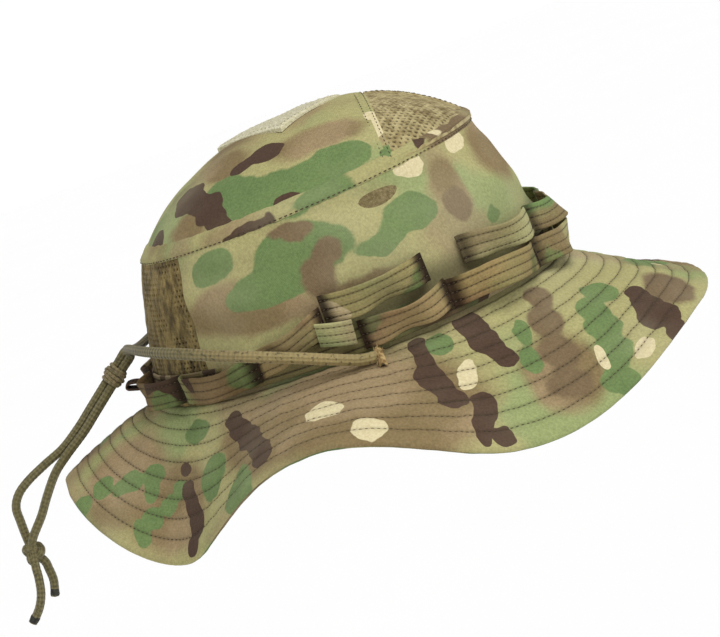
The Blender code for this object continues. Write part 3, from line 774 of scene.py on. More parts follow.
def cord_route(side, to_knot, end):
    """One strand from its slit in the brim to its melted tip, through slider and knot."""
    normal = pair_axes()[1]
    offset = np.array([0.0, side * PAIR_SPREAD, 0.0]) + normal * (side * PAIR_SPREAD)
    route = [(x, side * y, z) for x, y, z in ARM + ARM_BACK[side]]
    route += [tuple(PAIR_START + (PAIR_END - PAIR_START) * s + offset) for s in PAIR_SHARES]
    route += to_knot
    route.append(tuple(KNOT_CENTRE + np.array([0.0, side * 1.2, 0.0])))
    return np.array(route + end) * MM


def braid_relief(turn, along):
    """Raised diamond braid of eight carriers."""
    k = 1.4 / MM
    cross = np.sin(math.tau * 4 * turn + k * along) * np.sin(math.tau * 4 * turn - k * along)
    return 0.07 * MM * cross


def arm_relief(turn, along):
    """The braid, fuller and flattened upright on the slack arm round the crown."""
    slack = 1 - smoothstep(0.09, 0.16, along)
    return braid_relief(turn, along) + (0.28 + 0.26 * np.cos(math.tau * 2 * turn)) * MM * slack


def build_cords(cord, tip, bead):
    strands = []
    for side, hand, to_knot, end in ((-1, "right", RIGHT_TO_KNOT, RIGHT_END),
                                     (1, "left", LEFT_TO_KNOT, LEFT_END)):
        route = cord_route(side, to_knot, end)
        length = line_length(catmull(route, 900))
        line = catmull(route, int(length / (0.5 * MM)))
        strand = tube(f"braided_cord_{hand}", line, CORD_D / 2 + 0.14 * MM, cord, 32, relief=arm_relief)
        settle(strand, "braided_cord", f"chin_cord_{hand}", f"cord_tail_{hand}")
        strands.append((strand, line, length))
        melt = line[-12:] + (line[-1] - line[-2]) * 1.2
        cap = tube(f"cord_tip_{hand}", melt, CORD_D / 2 + 0.3 * MM, tip, 20, taper=1.6 * MM,
                   relief=lambda turn, along: 0.12 * MM * np.sin(math.tau * 2 * turn + along * 900))
        strands[-1] += (cap,)
    knot = build_knot(cord)
    for strand, line, length, cap in strands:
        with_pieces = [cap]
        if strand.name.endswith("right"):
            with_pieces += [knot]
    build_slider(bead)


def build_knot(cord):
    """Overhand knot: a tight three-lobed turn of cord round both strands."""
    t = np.linspace(0, math.tau, 260, endpoint=False)
    x = np.sin(t) + 2 * np.sin(2 * t)
    z = np.cos(t) - 2 * np.cos(2 * t)
    y = -np.sin(3 * t)
    shape = np.stack([x * 1.35, y * 1.7, z * 1.5], axis=1) * MM
    tilt = np.array(Matrix.Rotation(math.radians(24), 3, "Y") @ Matrix.Rotation(math.radians(16), 3, "Z"))
    line = shape @ tilt.T + KNOT_CENTRE * MM
    knot = tube("overhand_knot", line, 1.95 * MM, cord, 20, closed=True, relief=braid_relief)
    settle(knot, "braided_cord", "cord_knot")
    return knot


def build_slider(bead):
    """Bead wound from fine cord over a thin oval sleeve."""
    along, normal = pair_axes()
    wide = np.array([0.0, 1.0, 0.0]) + normal
    wide /= np.linalg.norm(wide)
    thin = np.cross(along, wide)
    centre = PAIR_START + along * SLIDER_ALONG
    angle = np.linspace(0, math.tau, 72, endpoint=False)
    pieces = []
    grids = []
    for half_wide, half_thin in ((5.3, 3.2), (4.72, 2.52)):
        rows = []
        for shift in np.linspace(-4.4, 4.4, 9):
            swell = 1.0 - 0.012 * shift * shift if half_wide > 5 else 1.0
            rows.append(centre + along * shift + np.outer(np.cos(angle) * half_wide * swell, wide)
                        + np.outer(np.sin(angle) * half_thin * swell, thin))
        grids.append(np.array(rows) * MM)
    pieces.append(sheet("bead_sleeve", grids[0], grids[1], bead, wrap=True, body="slider"))
    for turn, shift in enumerate(np.linspace(-3.55, 3.55, 5)):
        swell = 1.0 - 0.011 * shift * shift
        lean = 0.55 * math.sin(turn * 1.7)
        line = (centre + along * shift + np.outer(np.cos(angle) * 5.35 * swell, wide)
                + np.outer(np.sin(angle) * 3.35 * swell, thin) + np.outer(np.cos(angle) * lean, along))
        pieces.append(tube(f"bead_turn_{turn}", line * MM, 0.98 * MM, bead, 14, body="slider",
                           closed=True))
    line = (centre + np.outer(np.cos(angle) * 6.1, wide) + np.outer(np.sin(angle) * 4.15, thin)
            + np.outer(np.sin(angle + 0.5) * 2.6, along))
    pieces.append(tube("bead_wrap", line * MM, 0.5 * MM, bead, 10, body="slider", closed=True))
    joined = merge("wound_bead", pieces)
    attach(joined, "slider")
    settle(joined, "slider_bead", "cord_slider")


def build_bartacks(thread):
    """Satin bar over each cord end, with broken threads standing out of it."""
    for side, hand in ((-1, "right"), (1, "left")):
        rng = np.random.default_rng(40 + side)
        centre = np.array([3.0, side * 94.4, -0.6])
        lean = np.array([0.0, side * 0.82, -0.57])
        out = np.array([0.0, side * 0.57, 0.82])
        pieces = []
        for k in range(17):
            share = k / 16 - 0.5
            a = centre + lean * share * 10 + np.array([-1.5, 0, 0]) - out * 1.4
            b = centre + lean * (share * 10 + 0.3) + out * (1.5 - 3.2 * share * share)
            c = centre + lean * (share * 10 + 0.6) + np.array([1.7, 0, 0]) - out * 1.6
            pieces.append(tube(f"bar_{k}", catmull(np.array([a, b, c]) * MM, 9), 0.36 * MM, thread, 6))
        for k in range(16):
            start = centre + lean * rng.uniform(-6.5, 6.5) + out * rng.uniform(-0.5, 1.2)
            bend = rng.normal(size=3) * np.array([2.0, 1.4, 1.8])
            tip = start + out * rng.uniform(1.0, 3.6) + lean * rng.uniform(-3.5, 3.5) + bend * 0.6
            line = catmull(np.array([start, (start + tip) / 2 + bend * 0.35, tip]) * MM, 8)
            pieces.append(tube(f"fray_{k}", line, 0.13 * MM, thread, 5, taper=1.0 * MM))
        joined = merge(f"frayed_bartack_{hand}", pieces)
        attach(joined, "hat")
        settle(joined, "thread", f"cord_bartack_{hand}")


# Crown ---------------------------------------------------------------------------------------

def vent_edge(h):
    return VENT_EDGE_LOW + (VENT_EDGE_HIGH - VENT_EDGE_LOW) * h


def wall_sheet(start, stop, columns, rows):
    """Angles and heights of a wall panel between slanted edges start(h) and stop(h)."""
    h = np.linspace(0, 1, rows)[:, None]
    c = np.linspace(0, 1, columns)[None, :]
    angle = start(h) + (stop(h) - start(h)) * c
    rim = wall(angle, np.full_like(angle, SEAM_HEIGHT))
    z = WALL_FOOT + (seam_height(rim[..., 0]) - WALL_FOOT) * h
    return angle, z, h + 0 * c


def cloth_creases(points, share):
    """Soft hang of the wall: broad bulges and shallow slanting folds, fading at the top seam."""
    hold = smoothstep(0.0, 0.25, share) * (1 - smoothstep(0.86, 1.0, share))
    broad = waves(points * np.array([1, 1, 1.4]), 0.075, 3) * 1.0
    folds = waves(points * np.array([1, 1, 2.6]), 0.05, 8) * 0.75
    small = waves(points, 0.016, 21) * 0.12
    return (broad + folds + small) * hold * MM


def holes(u, v, pitch, radius):
    """Staggered round holes in millimetre coordinates: 1 at a hole's middle, 0 on the cloth."""
    row = np.round(v / (pitch * 0.87))
    x = u / pitch - 0.5 * (row % 2)
    du = (x - np.round(x)) * pitch
    dv = v - row * pitch * 0.87
    return 1 - smoothstep(radius * 0.7, radius * 1.35, np.hypot(du, dv))


def build_crown_wall(camo, vent):
    angle, z, share = wall_sheet(lambda h: -vent_edge(h), vent_edge, 340, 56)
    flat = wall(angle, z)
    grids = [wall(angle, z, cloth_creases(flat, share) - depth) for depth in (0.0, 1.5 * MM)]
    rise = z / MM + waves(flat, 0.03, 15) * 1.2
    # Painted shade on the wall under the tape loops, fading out between about 20 and 31 mm up, and lower
    # past about 100 degrees from the front
    shade_behind_loops = 1 - smoothstep(20.0, 31.0, rise + 14 * smoothstep(96.0, 104.0, np.abs(angle)))
    side = sheet("crown_side_cloth", grids[0], grids[1], camo, fields={"groove": shade_behind_loops})
    settle(side, "camouflage_cloth", "crown_side_panel")

    angle, z, share = wall_sheet(vent_edge, lambda h: 360 - vent_edge(h), 270, 140)
    flat = wall(angle, z)
    u = (angle - 180) * math.pi / 180 * 92
    hole = holes(u, z / MM, 2.7, 0.5)
    rim = np.minimum(share, 1 - share) * 68
    edge = np.minimum(angle - vent_edge(share), 360 - vent_edge(share) - angle) * 1.6
    border = smoothstep(1.2, 2.4, np.minimum(rim, edge))
    worn = smoothstep(-0.1, 0.7, waves(flat, 0.016, 16)) * 0.8 + 0.2
    rim_band = 1 - smoothstep(3.0, 7.0, np.minimum(rim, edge))
    hole = hole * border * np.maximum(worn, rim_band)
    puff = waves(flat, 0.05, 5) * 0.6 * MM * smoothstep(0.0, 8.0, np.minimum(rim, edge))
    knit = waves(flat * np.array([1, 1, 0.4]), 0.0035, 6, 14) * 0.1 * MM
    grids = [wall(angle, z, puff + knit - hole * 0.75 * MM), wall(angle, z, puff - 1.5 * MM)]
    rear = sheet("rear_vent_mesh", grids[0], grids[1], vent, fields={"hole": hole})
    settle(rear, "vent_mesh", "rear_mesh_panel")


def dome_sheet(x, y, lift):
    return np.stack([x, y, dome(x, y) + lift], axis=-1)


def build_crown_top(camo, vent):
    rows, cols = 120, 140
    u = np.linspace(0, 1, rows)[:, None]
    v = np.linspace(-1, 1, cols)[None, :]
    x = TOP_SPLIT_X + 0 * v - (TOP_SPLIT_X + TOP_A * 0.9995) * np.sin(u * math.pi / 2)
    half = TOP_B * np.sqrt(1 - (x / TOP_A) ** 2)
    y = half * np.sin(v * math.pi / 2)
    flat = dome_sheet(x, y, 0.0)
    reach = np.hypot(x / TOP_A, y / TOP_B)
    calm = 1 - smoothstep(0.9, 1.0, reach)
    lift = (waves(flat, 0.06, 12) * 0.7 + waves(flat, 0.02, 13) * 0.14) * calm * MM
    top = sheet("crown_top_cloth", dome_sheet(x, y, CLOTH + lift),
                dome_sheet(x, y, 0.1 * MM + lift), camo)
    settle(top, "camouflage_cloth", "crown_top_rear")

    rows, cols = 110, 120
    u = np.linspace(0, 1, rows)[:, None]
    v = np.linspace(0, 1, cols)[None, :]
    for side, hand in ((-1, "right"), (1, "left")):
        x = TOP_SPLIT_X + (TOP_A * 0.9992 - TOP_SPLIT_X) * np.sin(u * math.pi / 2) + 0 * v
        half = TOP_B * np.sqrt(1 - (x / TOP_A) ** 2)
        y = side * half * v
        flat = dome_sheet(x, y, 0.0)
        hole = holes(x / MM, y / MM, 2.5, 0.5)
        inset = np.minimum(np.minimum((x - TOP_SPLIT_X) / MM, np.abs(y) / MM), (half - np.abs(y)) / MM)
        hole = hole * smoothstep(2.6, 3.8, inset)
        puff = waves(flat, 0.04, 31) * 0.6 * MM * smoothstep(0, 8, inset)
        knit = waves(flat, 0.0035, 32, 14) * 0.1 * MM
        outer = dome_sheet(x, y, CLOTH + puff + knit - hole * 0.7 * MM)
        panel = sheet(f"front_vent_mesh_{hand}", outer, dome_sheet(x, y, 0.1 * MM + puff), vent,
                      fields={"hole": hole})
        settle(panel, "vent_mesh", f"top_mesh_{hand}")


def seam_ring(reach_down, reach_up, count, out):
    """Grid across the top seam: from reach_down on the wall to reach_up on the dome."""
    angle = np.linspace(0, 360, count, endpoint=False)
    rim = wall(angle, np.full_like(angle, SEAM_HEIGHT))
    t = np.radians(angle)
    rows = []
    shares = np.linspace(-reach_down, reach_up, 13)
    profile = np.sqrt(np.clip(1 - ((shares - (reach_up - reach_down) / 2)
                                   / ((reach_up + reach_down) / 2 * 1.02)) ** 2, 0, 1))
    for s, swell in zip(shares, profile):
        if s < 0:
            p = wall(angle, seam_height(rim[:, 0]) + s)
            n = unit(np.stack([np.cos(t) / TOP_A, np.sin(t) / TOP_B, 3.0 + 0 * t], -1))
        else:
            q = 1 - s * 0.7 / TOP_A
            x, y = TOP_A * np.cos(t) * q, TOP_B * np.sin(t) * q
            p = np.stack([x, y, dome(x, y) + CLOTH * 0.9], axis=-1)
            n = unit(np.stack([np.cos(t) / TOP_A, np.sin(t) / TOP_B, 14.0 + 0 * t], -1))
        rows.append(p + n * (out * swell - 0.15 * MM))
    return np.array(rows)


def build_top_seam(camo, dark):
    outer = seam_ring(2.0 * MM, 5.6 * MM, 420, 0.95 * MM)
    pucker = waves(outer, 0.007, 51) * 0.14 * MM
    normals = grid_normals(outer, True, outer * np.array([1, 1, 0]) + np.array([0, 0, 0.08]))
    outer = outer + normals * pucker[..., None]
    inner = outer - normals * 0.9 * MM
    band = sheet("top_seam_fold", outer, inner, camo, wrap=True)
    shift_pattern(band, (0.37, 0.16, 0.05))
    path = [(ringed(outer[1]), ringed(normals[1]))]
    stitching("top_seam_stitching", path, dark, radius=0.26 * MM)


def ridge(name, line_x, line_y, width, rise, mat, shift=None):
    """Raised strip along a line over the dome; returns its object, grid and normals."""
    line = np.stack([line_x, line_y], axis=-1)
    ahead = unit(np.gradient(line, axis=0))
    across = np.stack([-ahead[:, 1], ahead[:, 0]], axis=-1)
    rows_out, rows_in = [], []
    for s in np.linspace(-1, 1, 11):
        p = line + across * (s * width / 2)
        z = dome(p[:, 0], p[:, 1]) + CLOTH
        swell = rise * (1 - abs(s) ** 4)
        rows_out.append(np.stack([p[:, 0], p[:, 1], z + swell], -1))
        rows_in.append(np.stack([p[:, 0], p[:, 1], z - 0.3 * MM], -1))
    outer, inner = np.array(rows_out), np.array(rows_in)
    outer[..., 2] += waves(outer, 0.006, 61) * 0.1 * MM
    obj = sheet(name, outer, inner, mat)
    if shift is not None:
        shift_pattern(obj, shift)
    return obj, outer, grid_normals(outer, False, np.array([0, 0, 1.0]))


def build_top_ridges(camo, vent, dark):
    y = np.linspace(-1, 1, 160) * TOP_B * math.sqrt(1 - (TOP_SPLIT_X / TOP_A) ** 2) * 0.985
    x = np.full_like(y, TOP_SPLIT_X)
    felled, grid, normals = ridge("cross_seam_fold", x, y, 6.0 * MM, 0.6 * MM, camo, (0.05, 0.3, 0.02))
    paths = [(grid[k], normals[k]) for k in (2, 8)]
    x = np.linspace(TOP_SPLIT_X + 3 * MM, TOP_A * 0.975, 110)
    y = np.zeros_like(x)
    tape, grid, normals = ridge("centre_seam_tape", x, y, 6.8 * MM, 0.75 * MM, vent)
    settle(tape, "foliage_tape", "top_centre_tape")
    paths += [(grid[k], normals[k]) for k in (2, 8)]
    stitching("crown_top_stitching", paths, dark, radius=0.22 * MM)


def build_loop_patch(pile, dark):
    """Pale looped square with a bound edge, lying on the crown with one corner forward."""
    n = 60
    level = dome(PATCH_CENTRE_X, 0.0) + CLOTH + 1.4 * MM
    s = np.linspace(-1, 1, n)
    a, b = np.meshgrid(s, s, indexing="ij")
    x = PATCH_CENTRE_X + (a + b) * PATCH_HALF_DIAGONAL / 2
    y = (a - b) * PATCH_HALF_DIAGONAL / 2
    top = level + PATCH_SLOPE * (x - PATCH_CENTRE_X)
    under = dome(x, y) + CLOTH + 0.35 * MM
    top = np.maximum(under + 1.1 * MM, top - 0.55 * (top - under - 1.6 * MM))
    points = np.stack([x, y, top], -1)
    rim = np.minimum(1 - np.abs(a), 1 - np.abs(b))
    fuzz = waves(points, 0.0022, 71, 16) * 0.22 * MM + waves(points, 0.02, 72) * 0.2 * MM
    round_off = 0.9 * MM * (1 - smoothstep(0.0, 0.06, rim))
    groove = np.exp(-((rim - 0.1) / 0.022) ** 2)
    outer = points.copy()
    outer[..., 2] += fuzz * smoothstep(0.1, 0.16, rim) - round_off - groove * 0.35 * MM
    inner = np.stack([x, y, under], -1)
    patch = sheet("loop_pile_square", outer, inner, pile, fields={"groove": groove})
    settle(patch, "loop_patch", "top_loop_patch")
    normals = grid_normals(outer, False, np.array([0, 0, 1.0]))
    k = 3
    ring = [(outer[k, k:-k], normals[k, k:-k]), (outer[-k - 1, k:-k], normals[-k - 1, k:-k]),
            (outer[k:-k, k], normals[k:-k, k]), (outer[k:-k, -k - 1], normals[k:-k, -k - 1])]
    stitching("patch_stitching", ring, dark, radius=0.24 * MM)


# Brim ----------------------------------------------------------------------------------------

def brim_rows():
    """Distances from the edge where the brim is sampled, and the index of each stitch row."""
    marks = [0.0, 0.5 * MM, 1.1 * MM, 2.0 * MM, 3.4 * MM, 4.6 * MM]
    centres = []
    for k in range(ROW_COUNT):
        centre = ROW_EDGE + ROW_STEP * k
        for off in (-0.75, -0.35, 0.0, 0.35, 0.75):
            if off == 0.0:
                centres.append(len(marks))
            marks.append(centre + off * MM)
        marks += [centre + ROW_STEP * f for f in (0.27, 0.5, 0.73)]
    return np.array(marks[:-2]), centres


def build_brim(camo, under_cloth, core, dark):
    marks, centres = brim_rows()
    columns = 620
    angle = np.linspace(0, 360, columns, endpoint=False)[None, :]
    share = 1 - marks[:, None] / ROW_WIDTH + 0 * angle
    inner_share = share[-1]
    tail = np.linspace(1, 0, 8)[1:, None] * inner_share[None, :]
    share = np.concatenate([share, tail])
    angles = np.broadcast_to(angle, share.shape)
    distance = (1 - share) * ROW_WIDTH
    base = brim(angles, share)
    normal = grid_normals(base, True, np.array([0, 0, 1.0]))
    valley = np.zeros_like(share)
    for k in range(ROW_COUNT):
        centre = ROW_EDGE + ROW_STEP * k
        valley += np.exp(-((distance - centre) / (0.62 * MM)) ** 2)
    between = np.abs(np.sin(math.pi * (distance - ROW_EDGE) / ROW_STEP)) ** 0.8
    quilted = smoothstep(2.0, 6.0, distance / MM) * (distance < ROW_EDGE + ROW_STEP * (ROW_COUNT - 0.4))
    arc = np.radians(angles) * 135 * MM
    flow = np.stack([arc, distance * 0.35, 0 * arc], -1)
    pucker = waves(flow, 0.0075, 81, 14) * (0.16 + 0.1 * valley)
    ripple = waves(base, 0.085, 82) * 1.1 * smoothstep(0.1, 1.0, share)
    crease = waves(base, 0.03, 83) * 0.3 * smoothstep(0.05, 0.4, share)
    lift = (ripple + crease + pucker + 0.28 * between * quilted - 0.34 * valley) * MM
    half = 1.7 * MM * np.sqrt(np.clip(1 - (1 - np.clip(distance / (1.9 * MM), 0, 1)) ** 2, 0.02, 1.0))
    middle = base - normal * 1.7 * MM + normal * ((ripple + crease) * MM)[..., None]
    top = middle + normal * (half + lift - (ripple + crease) * MM)[..., None]
    drop = half + (pucker * 0.6 + 0.3 * between * quilted - 0.45 * valley) * MM
    low = middle - normal * drop[..., None]
    # Painted shadow: a dark line along the brim where it meets the crown, added to the painted shade in
    # the stitch-row valleys
    foot_shadow = 3.0 * (1 - smoothstep(0.015, 0.06, share + waves(base, 0.02, 84) * 0.008))
    grooves = {"groove": np.clip(valley, 0, 1) + foot_shadow}
    upper = sheet("brim_top_cloth", top, middle, camo, wrap=True, fields=grooves, sharp=60)
    settle(upper, "brim_cloth", "brim_upper")
    lower = sheet("brim_under_cloth", middle - normal * 0.02 * MM, low, under_cloth, wrap=True, sharp=60)
    # Painted shade in the stitch-row valleys of the underside too
    attribute = lower.data.attributes.new("groove", "FLOAT", "POINT")
    flat = np.clip(valley, 0, 1).ravel()
    attribute.data.foreach_set("value", np.concatenate([flat, flat]).astype(np.float32))
    settle(lower, "brim_underside", "brim_lower")
    pick = np.arange(14, share.shape[0] - 4, 6)
    hidden = [middle[pick][:, ::10] + normal[pick][:, ::10] * off for off in (0.3 * MM, -0.3 * MM)]
    stiff = sheet("brim_stiffener", hidden[0], hidden[1], core, wrap=True)
    settle(stiff, "interlining", "brim_interlining")

    paths_top, paths_low = [], []
    for k in centres:
        lean = ringed(normal[k])
        paths_top.append((ringed(top[k]), lean))
        paths_low.append((ringed(low[k]), -lean))
    stitching("brim_stitch_rows", paths_top, dark, radius=0.2 * MM)
    stitching("brim_stitch_rows_under", paths_low, dark, pitch=2.9 * MM, length=2.1 * MM)


# Tapes ---------------------------------------------------------------------------------------

STITCH_SHARES = (-0.62, 0.0, 0.62)


def tape(name, line, across, out, width, mat, thick=0.9 * MM, seed=1, wrap=False, painted_shade=0.0):
    """Cloth tape along line, with three sewn grooves; returns object, paths of its stitch rows."""
    shares = np.array([-1.0, -0.94, -0.74, -0.66, -0.62, -0.58, -0.5, -0.3, -0.1, -0.05, 0.0,
                       0.05, 0.1, 0.3, 0.5, 0.58, 0.62, 0.66, 0.74, 0.94, 1.0])
    outer, inner, groove = [], [], []
    for s in shares:
        valley = sum(math.exp(-((s - k) / 0.05) ** 2) for k in STITCH_SHARES)
        edge = math.sqrt(max(0.05, 1 - max(0.0, (abs(s) - 0.92) / 0.085) ** 2))
        p = line + across * (s * width / 2)
        p = p + out * (waves(p, 0.009, seed) * 0.12 * MM)[:, None]
        puff = 0.22 * MM * (1 - valley) * edge
        outer.append(p + out * (thick * 0.5 * edge + puff - 0.12 * MM))
        inner.append(p - out * (thick * 0.5 * edge + puff * 0.5 - 0.12 * MM))
        # The groove field is painted shade: in the three sewn grooves, plus the shade that the caller adds
        groove.append(np.full(len(line), min(1.0, valley)) + painted_shade)
    outer, inner = np.array(outer), np.array(inner)
    obj = sheet(name, outer, inner, mat, wrap=wrap, fields={"groove": np.array(groove)}, sharp=55)
    paths = []
    for share in STITCH_SHARES:
        k = int(np.argmin(abs(shares - share)))
        front, back, lean = (ringed(v) if wrap else v for v in (outer[k], inner[k], out))
        paths += [(front, lean), (back, -lean)]
    return obj, paths


def tape_face(line, across, out):
    """Unit normals of a tape along line, on the side that out points to."""
    face = np.cross(unit(np.gradient(line, axis=0)), across)
    return unit(face * np.sign(np.sum(face * out, axis=1, keepdims=True)))


LOOPS = (
    # label, start and stop angles, mid heights, bow, lean of the top edge, sag, print shift
    ("front_low_1", 4.0, 33.0, 8.5, 8.6, 7.2, 0.10, 0.6, (0.31, 0.02, 0.11)),
    ("front_low_2", 34.5, 65.0, 8.7, 11.2, 9.0, 0.16, -0.8, (0.11, 0.42, 0.01)),
    ("front_high_1", 2.0, 27.0, 22.8, 23.4, 7.2, -0.15, 1.2, (0.52, 0.13, 0.22)),
    ("front_high_2", 28.5, 57.0, 23.6, 26.4, 8.4, 0.22, 0.6, (0.23, 0.31, 0.42)),
    ("side_low", 67.0, 90.0, 11.6, 9.6, 8.4, 0.30, 0.4, (0.05, 0.22, 0.31)),
    ("side_high", 70.0, 97.0, 26.8, 25.2, 6.6, 0.20, 0.5, (0.62, 0.41, 0.13)),
    ("side_bow", 99.0, 118.0, 20.6, 11.0, 9.4, 0.25, 0.0, (0.44, 0.12, 0.52)),
    ("rear_low_1", 119.5, 146.0, 9.6, 8.8, 8.6, 0.30, 1.0, (0.14, 0.55, 0.23)),
    ("rear_low_2", 147.5, 175.0, 8.8, 8.6, 8.2, 0.15, 0.8, (0.37, 0.28, 0.05)),
)


def wall_frame(angle, z, lift):
    """Points beside the wall with their outward plan directions."""
    p = wall(angle, z, lift)
    n = unit(p * np.array([1 / BASE_A ** 2, 1 / BASE_B ** 2, 0.0]))
    return p, n


BROWN_LOOPS = ("front_low_2", "side_low", "side_bow")
PALE_LOOPS = ("front_high_1", "front_high_2", "front_low_1")


def build_tapes(cloth, pale, brown, dark):
    paths = []
    angle = np.linspace(0, 360, 360, endpoint=False)
    line, out = wall_frame(angle, np.full_like(angle, 8.1 * MM), 1.05 * MM)
    across = np.tile([0.0, 0.0, 1.0], (len(angle), 1)) - out * 0.12
    # The whole base band gets painted shade, as it lies in shadow under the loops
    base, rows = tape("foliage_base_band", line, unit(across), out, TAPE_WIDTH, cloth, seed=90,
                      wrap=True, painted_shade=0.9)
    shift_pattern(base, (0.7, 0.3, 0.1))
    settle(base, "foliage_tape", "foliage_base_tape")
    paths += rows[::2]
    for side, hand in ((-1, "right"), (1, "left")):
        for seed, (label, start, stop, z0, z1, bow, lean, sag, shift) in enumerate(LOOPS):
            s = np.linspace(-0.035, 1.035, 64)
            body = np.sin(math.pi * np.clip(s, 0, 1))
            z = (z0 + (z1 - z0) * s - sag * body + 0.35 * np.sin(s * 9 + seed * 2.1)) * MM
            lift = TAPE_REST + 0.55 * MM + bow * MM * body ** 0.8
            lift = lift + 0.8 * MM * np.sin(s * 11 + seed * 1.3) * body
            line, out = wall_frame(side * (start + (stop - start) * s), z, lift)
            tilt = 1.5 * lean * body + 0.3 * np.sin(s * 7 + seed) * body - 0.1
            across = unit(np.array([0.0, 0.0, 1.0]) + out * tilt[:, None])
            face = tape_face(line, across, out)
            pick = brown if label in BROWN_LOOPS else pale if label in PALE_LOOPS else cloth
            # Painted shade where each loop's ends fold in against the wall
            ends = 1.9 * (1 - smoothstep(0.0, 0.13, np.minimum(s, 1 - s)))
            loop, rows = tape(f"tape_loop_{label}_{hand}", line, across, face, TAPE_WIDTH, pick,
                              seed=seed + 100, painted_shade=ends)
            if label == "side_bow":
                flap, more = open_end(side, pale)
                rows += more
                loop = merge(loop.name, [loop, flap])
                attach(loop, "hat")
            shift_pattern(loop, (shift[0], shift[1] * side, shift[2]))
            settle(loop, "foliage_tape", f"foliage_loop_{label}_{hand}")
            paths += rows
    keeper_line, keeper_across, keeper_out = keeper_shape()
    keeper, rows = tape("rear_tape_keeper", keeper_line, keeper_across, keeper_out, 9.0 * MM, cloth,
                        seed=130)
    shift_pattern(keeper, (0.16, 0.4, 0.33))
    settle(keeper, "foliage_tape", "rear_keeper_loop")
    paths += rows[::2]
    stitching("tape_stitching", paths, dark, pitch=2.3 * MM, length=1.6 * MM, radius=0.2 * MM)


def open_end(side, cloth):
    """Doubled end of the bowed side loop: a short flap standing off below its mouth."""
    s = np.linspace(0, 1, 24)
    line, out = wall_frame(side * (100.5 - 8.5 * s), (16.5 - 4.0 * s) * MM,
                           (4.2 + 4.6 * np.sin(math.pi * (0.25 + 0.6 * s))) * MM)
    across = unit(np.array([0.0, 0.0, 1.0]) + out * 0.25 + np.gradient(line, axis=0) * 160)
    return tape("tape_flap", line, across, tape_face(line, across, out), TAPE_WIDTH * 0.9, cloth, seed=150)


def keeper_shape():
    """Folded loop of tape at the centre back, in the plane of symmetry."""
    outline = np.array([(-104.9, 0, 9.3), (-108.5, 0, 10.6), (-113, 0, 12.2), (-116.2, 0, 12.2),
                        (-116.8, 0, 10.4), (-114.2, 0, 9.2), (-109, 0, 7.6), (-104.9, 0, 7.2)]) * MM
    line = catmull(outline, 60)
    across = np.tile([0.0, 1.0, 0.0], (60, 1))
    ahead = unit(np.gradient(line, axis=0))
    out = np.cross(across, ahead)
    middle = line.mean(axis=0)
    out = out * np.sign(np.sum(out * (line - middle)))
    return line, across, unit(out)


# Inside --------------------------------------------------------------------------------------

def build_inside(sweat, binding, dark):
    angle = np.linspace(0, 360, 300, endpoint=False)
    rows_out, rows_in = [], []
    heights = np.array([0.6, 1.4, 3, 8, 14, 20, 25, 27.2, 28, 28.8, 29.8]) * MM
    for z in heights:
        p = wall(angle, np.full_like(angle, z), -2.3 * MM)
        wrinkle = waves(p, 0.03, 140) * 0.35 * MM * smoothstep(2 * MM, 9 * MM, z)
        groove = 0.5 * MM * math.exp(-((z - 27.2 * MM) / (0.9 * MM)) ** 2)
        rows_out.append(wall(angle, np.full_like(angle, z), -2.2 * MM))
        rows_in.append(wall(angle, np.full_like(angle, z), -3.75 * MM + wrinkle + groove))
    outer, inner = np.array(rows_out), np.array(rows_in)
    band = sheet("sweatband_cloth", inner, outer, sweat, wrap=True)
    settle(band, "sweatband_cloth", "sweatband")
    normals = grid_normals(inner, True, -inner * np.array([1, 1, 0]))
    paths = [(ringed(inner[7]), ringed(normals[7]))]

    grids = []
    for out in (-3.0 * MM, -2.2 * MM):
        grids.append(np.array([wall(angle, np.full_like(angle, z), out)
                               for z in np.linspace(54.7, 65.3, 9) * MM]))
    grids[0] = grids[0] + waves(grids[0], 0.008, 141)[..., None] * np.array([0.0, 0.0, 0.15 * MM])
    tape_in = sheet("inner_seam_binding", grids[0], grids[1], binding, wrap=True)
    settle(tape_in, "foliage_tape", "crown_seam_tape")
    normals = grid_normals(grids[0], True, -grids[0] * np.array([1, 1, 0]))
    for k in (1, 7):
        paths.append((ringed(grids[0][k]), ringed(normals[k])))
    stitching("inside_stitching", paths, dark, radius=0.24 * MM)


# Making --------------------------------------------------------------------------------------

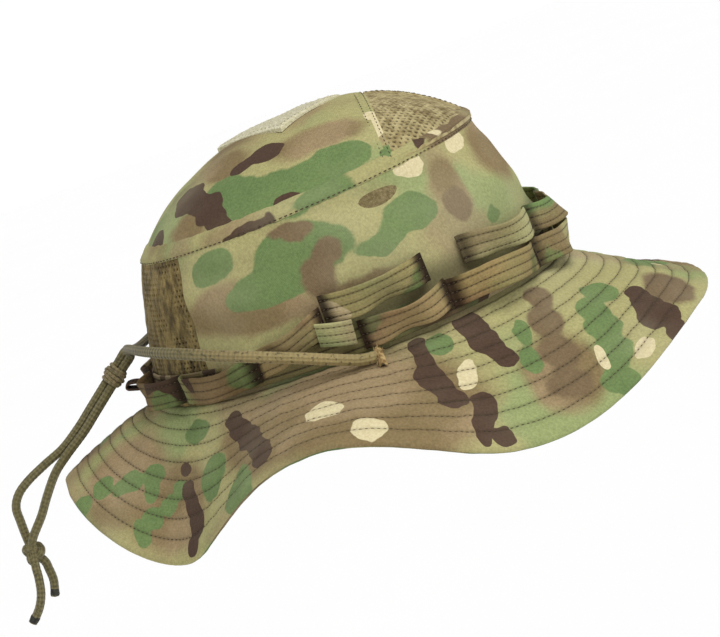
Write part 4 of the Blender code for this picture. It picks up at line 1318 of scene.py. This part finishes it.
def main():
    build_camera()
    cord = braid_cloth("braided_cord", rgb(118, 109, 72), rgb(80, 74, 44), rgb(54, 52, 30),
                       rgb(174, 152, 100))
    bead = braid_cloth("slider_bead", rgb(150, 134, 98), rgb(106, 92, 60), rgb(80, 70, 44),
                       rgb(150, 134, 98))
    tip = thread_material("melted_tip", rgb(58, 58, 50), rgb(38, 38, 34))
    frayed = thread_material("frayed_thread", rgb(196, 170, 118), rgb(140, 112, 66))
    dark = thread_material("stitch_thread", rgb(86, 74, 50), rgb(58, 48, 32))
    build_cords(cord, tip, bead)
    build_bartacks(frayed)
    build_studio()

    # groove sets the strength of the painted shade on each print
    crown_print = printed_cloth("crown_print", shapes=CROWN_SHAPES, groove=0.52)
    brim_print = printed_cloth("brim_print", shapes=BRIM_SHAPES, groove=0.26)
    # The brim's underside is the same print darkened to 0.7: painted shade
    under_print = printed_cloth("brim_under_print_shaded", groove=0.3, tint=(0.7, 0.7, 0.7))
    tapes = [printed_cloth(name, shifted=True, groove=groove, tint=tint, dense=dense)
             for name, groove, tint, dense in (("tape_print", 0.5, (0.74, 0.68, 0.63), 0.05),
                                               ("tape_print_pale", 0.4, (0.97, 1.0, 0.98), -0.03),
                                               ("tape_print_brown", 0.5, (0.78, 0.62, 0.58), 0.02))]
    fold_print = printed_cloth("fold_print", shifted=True)
    front_vent = mesh_cloth("front_vent_mesh", rgb(186, 172, 126), rgb(168, 152, 106), rgb(120, 104, 66))
    # The rear vent is the same mesh as the front vents, darker and browner: its darkness is painted shade
    # on the crown's rear, which faces away from the light
    shaded_rear_vent = mesh_cloth("rear_vent_mesh", rgb(150, 131, 80), rgb(122, 104, 60), rgb(72, 59, 32))
    pile = plain_cloth("loop_pile", rgb(216, 212, 182), rgb(182, 174, 136), 1.1, 0.3)
    core = plain_cloth("stiffener_felt", rgb(190, 184, 166), rgb(160, 152, 134))
    sweat = plain_cloth("sweatband_twill", rgb(150, 134, 98), rgb(112, 98, 66), 0.9)
    binding = plain_cloth("seam_binding", rgb(138, 124, 88), rgb(100, 88, 58), 0.8)

    build_crown_wall(crown_print, shaded_rear_vent)
    build_crown_top(crown_print, front_vent)
    build_top_seam(fold_print, dark)
    build_top_ridges(fold_print, front_vent, dark)
    build_loop_patch(pile, dark)
    build_brim(brim_print, under_print, core, dark)
    build_tapes(*tapes, dark)
    build_inside(sweat, binding, dark)


main()
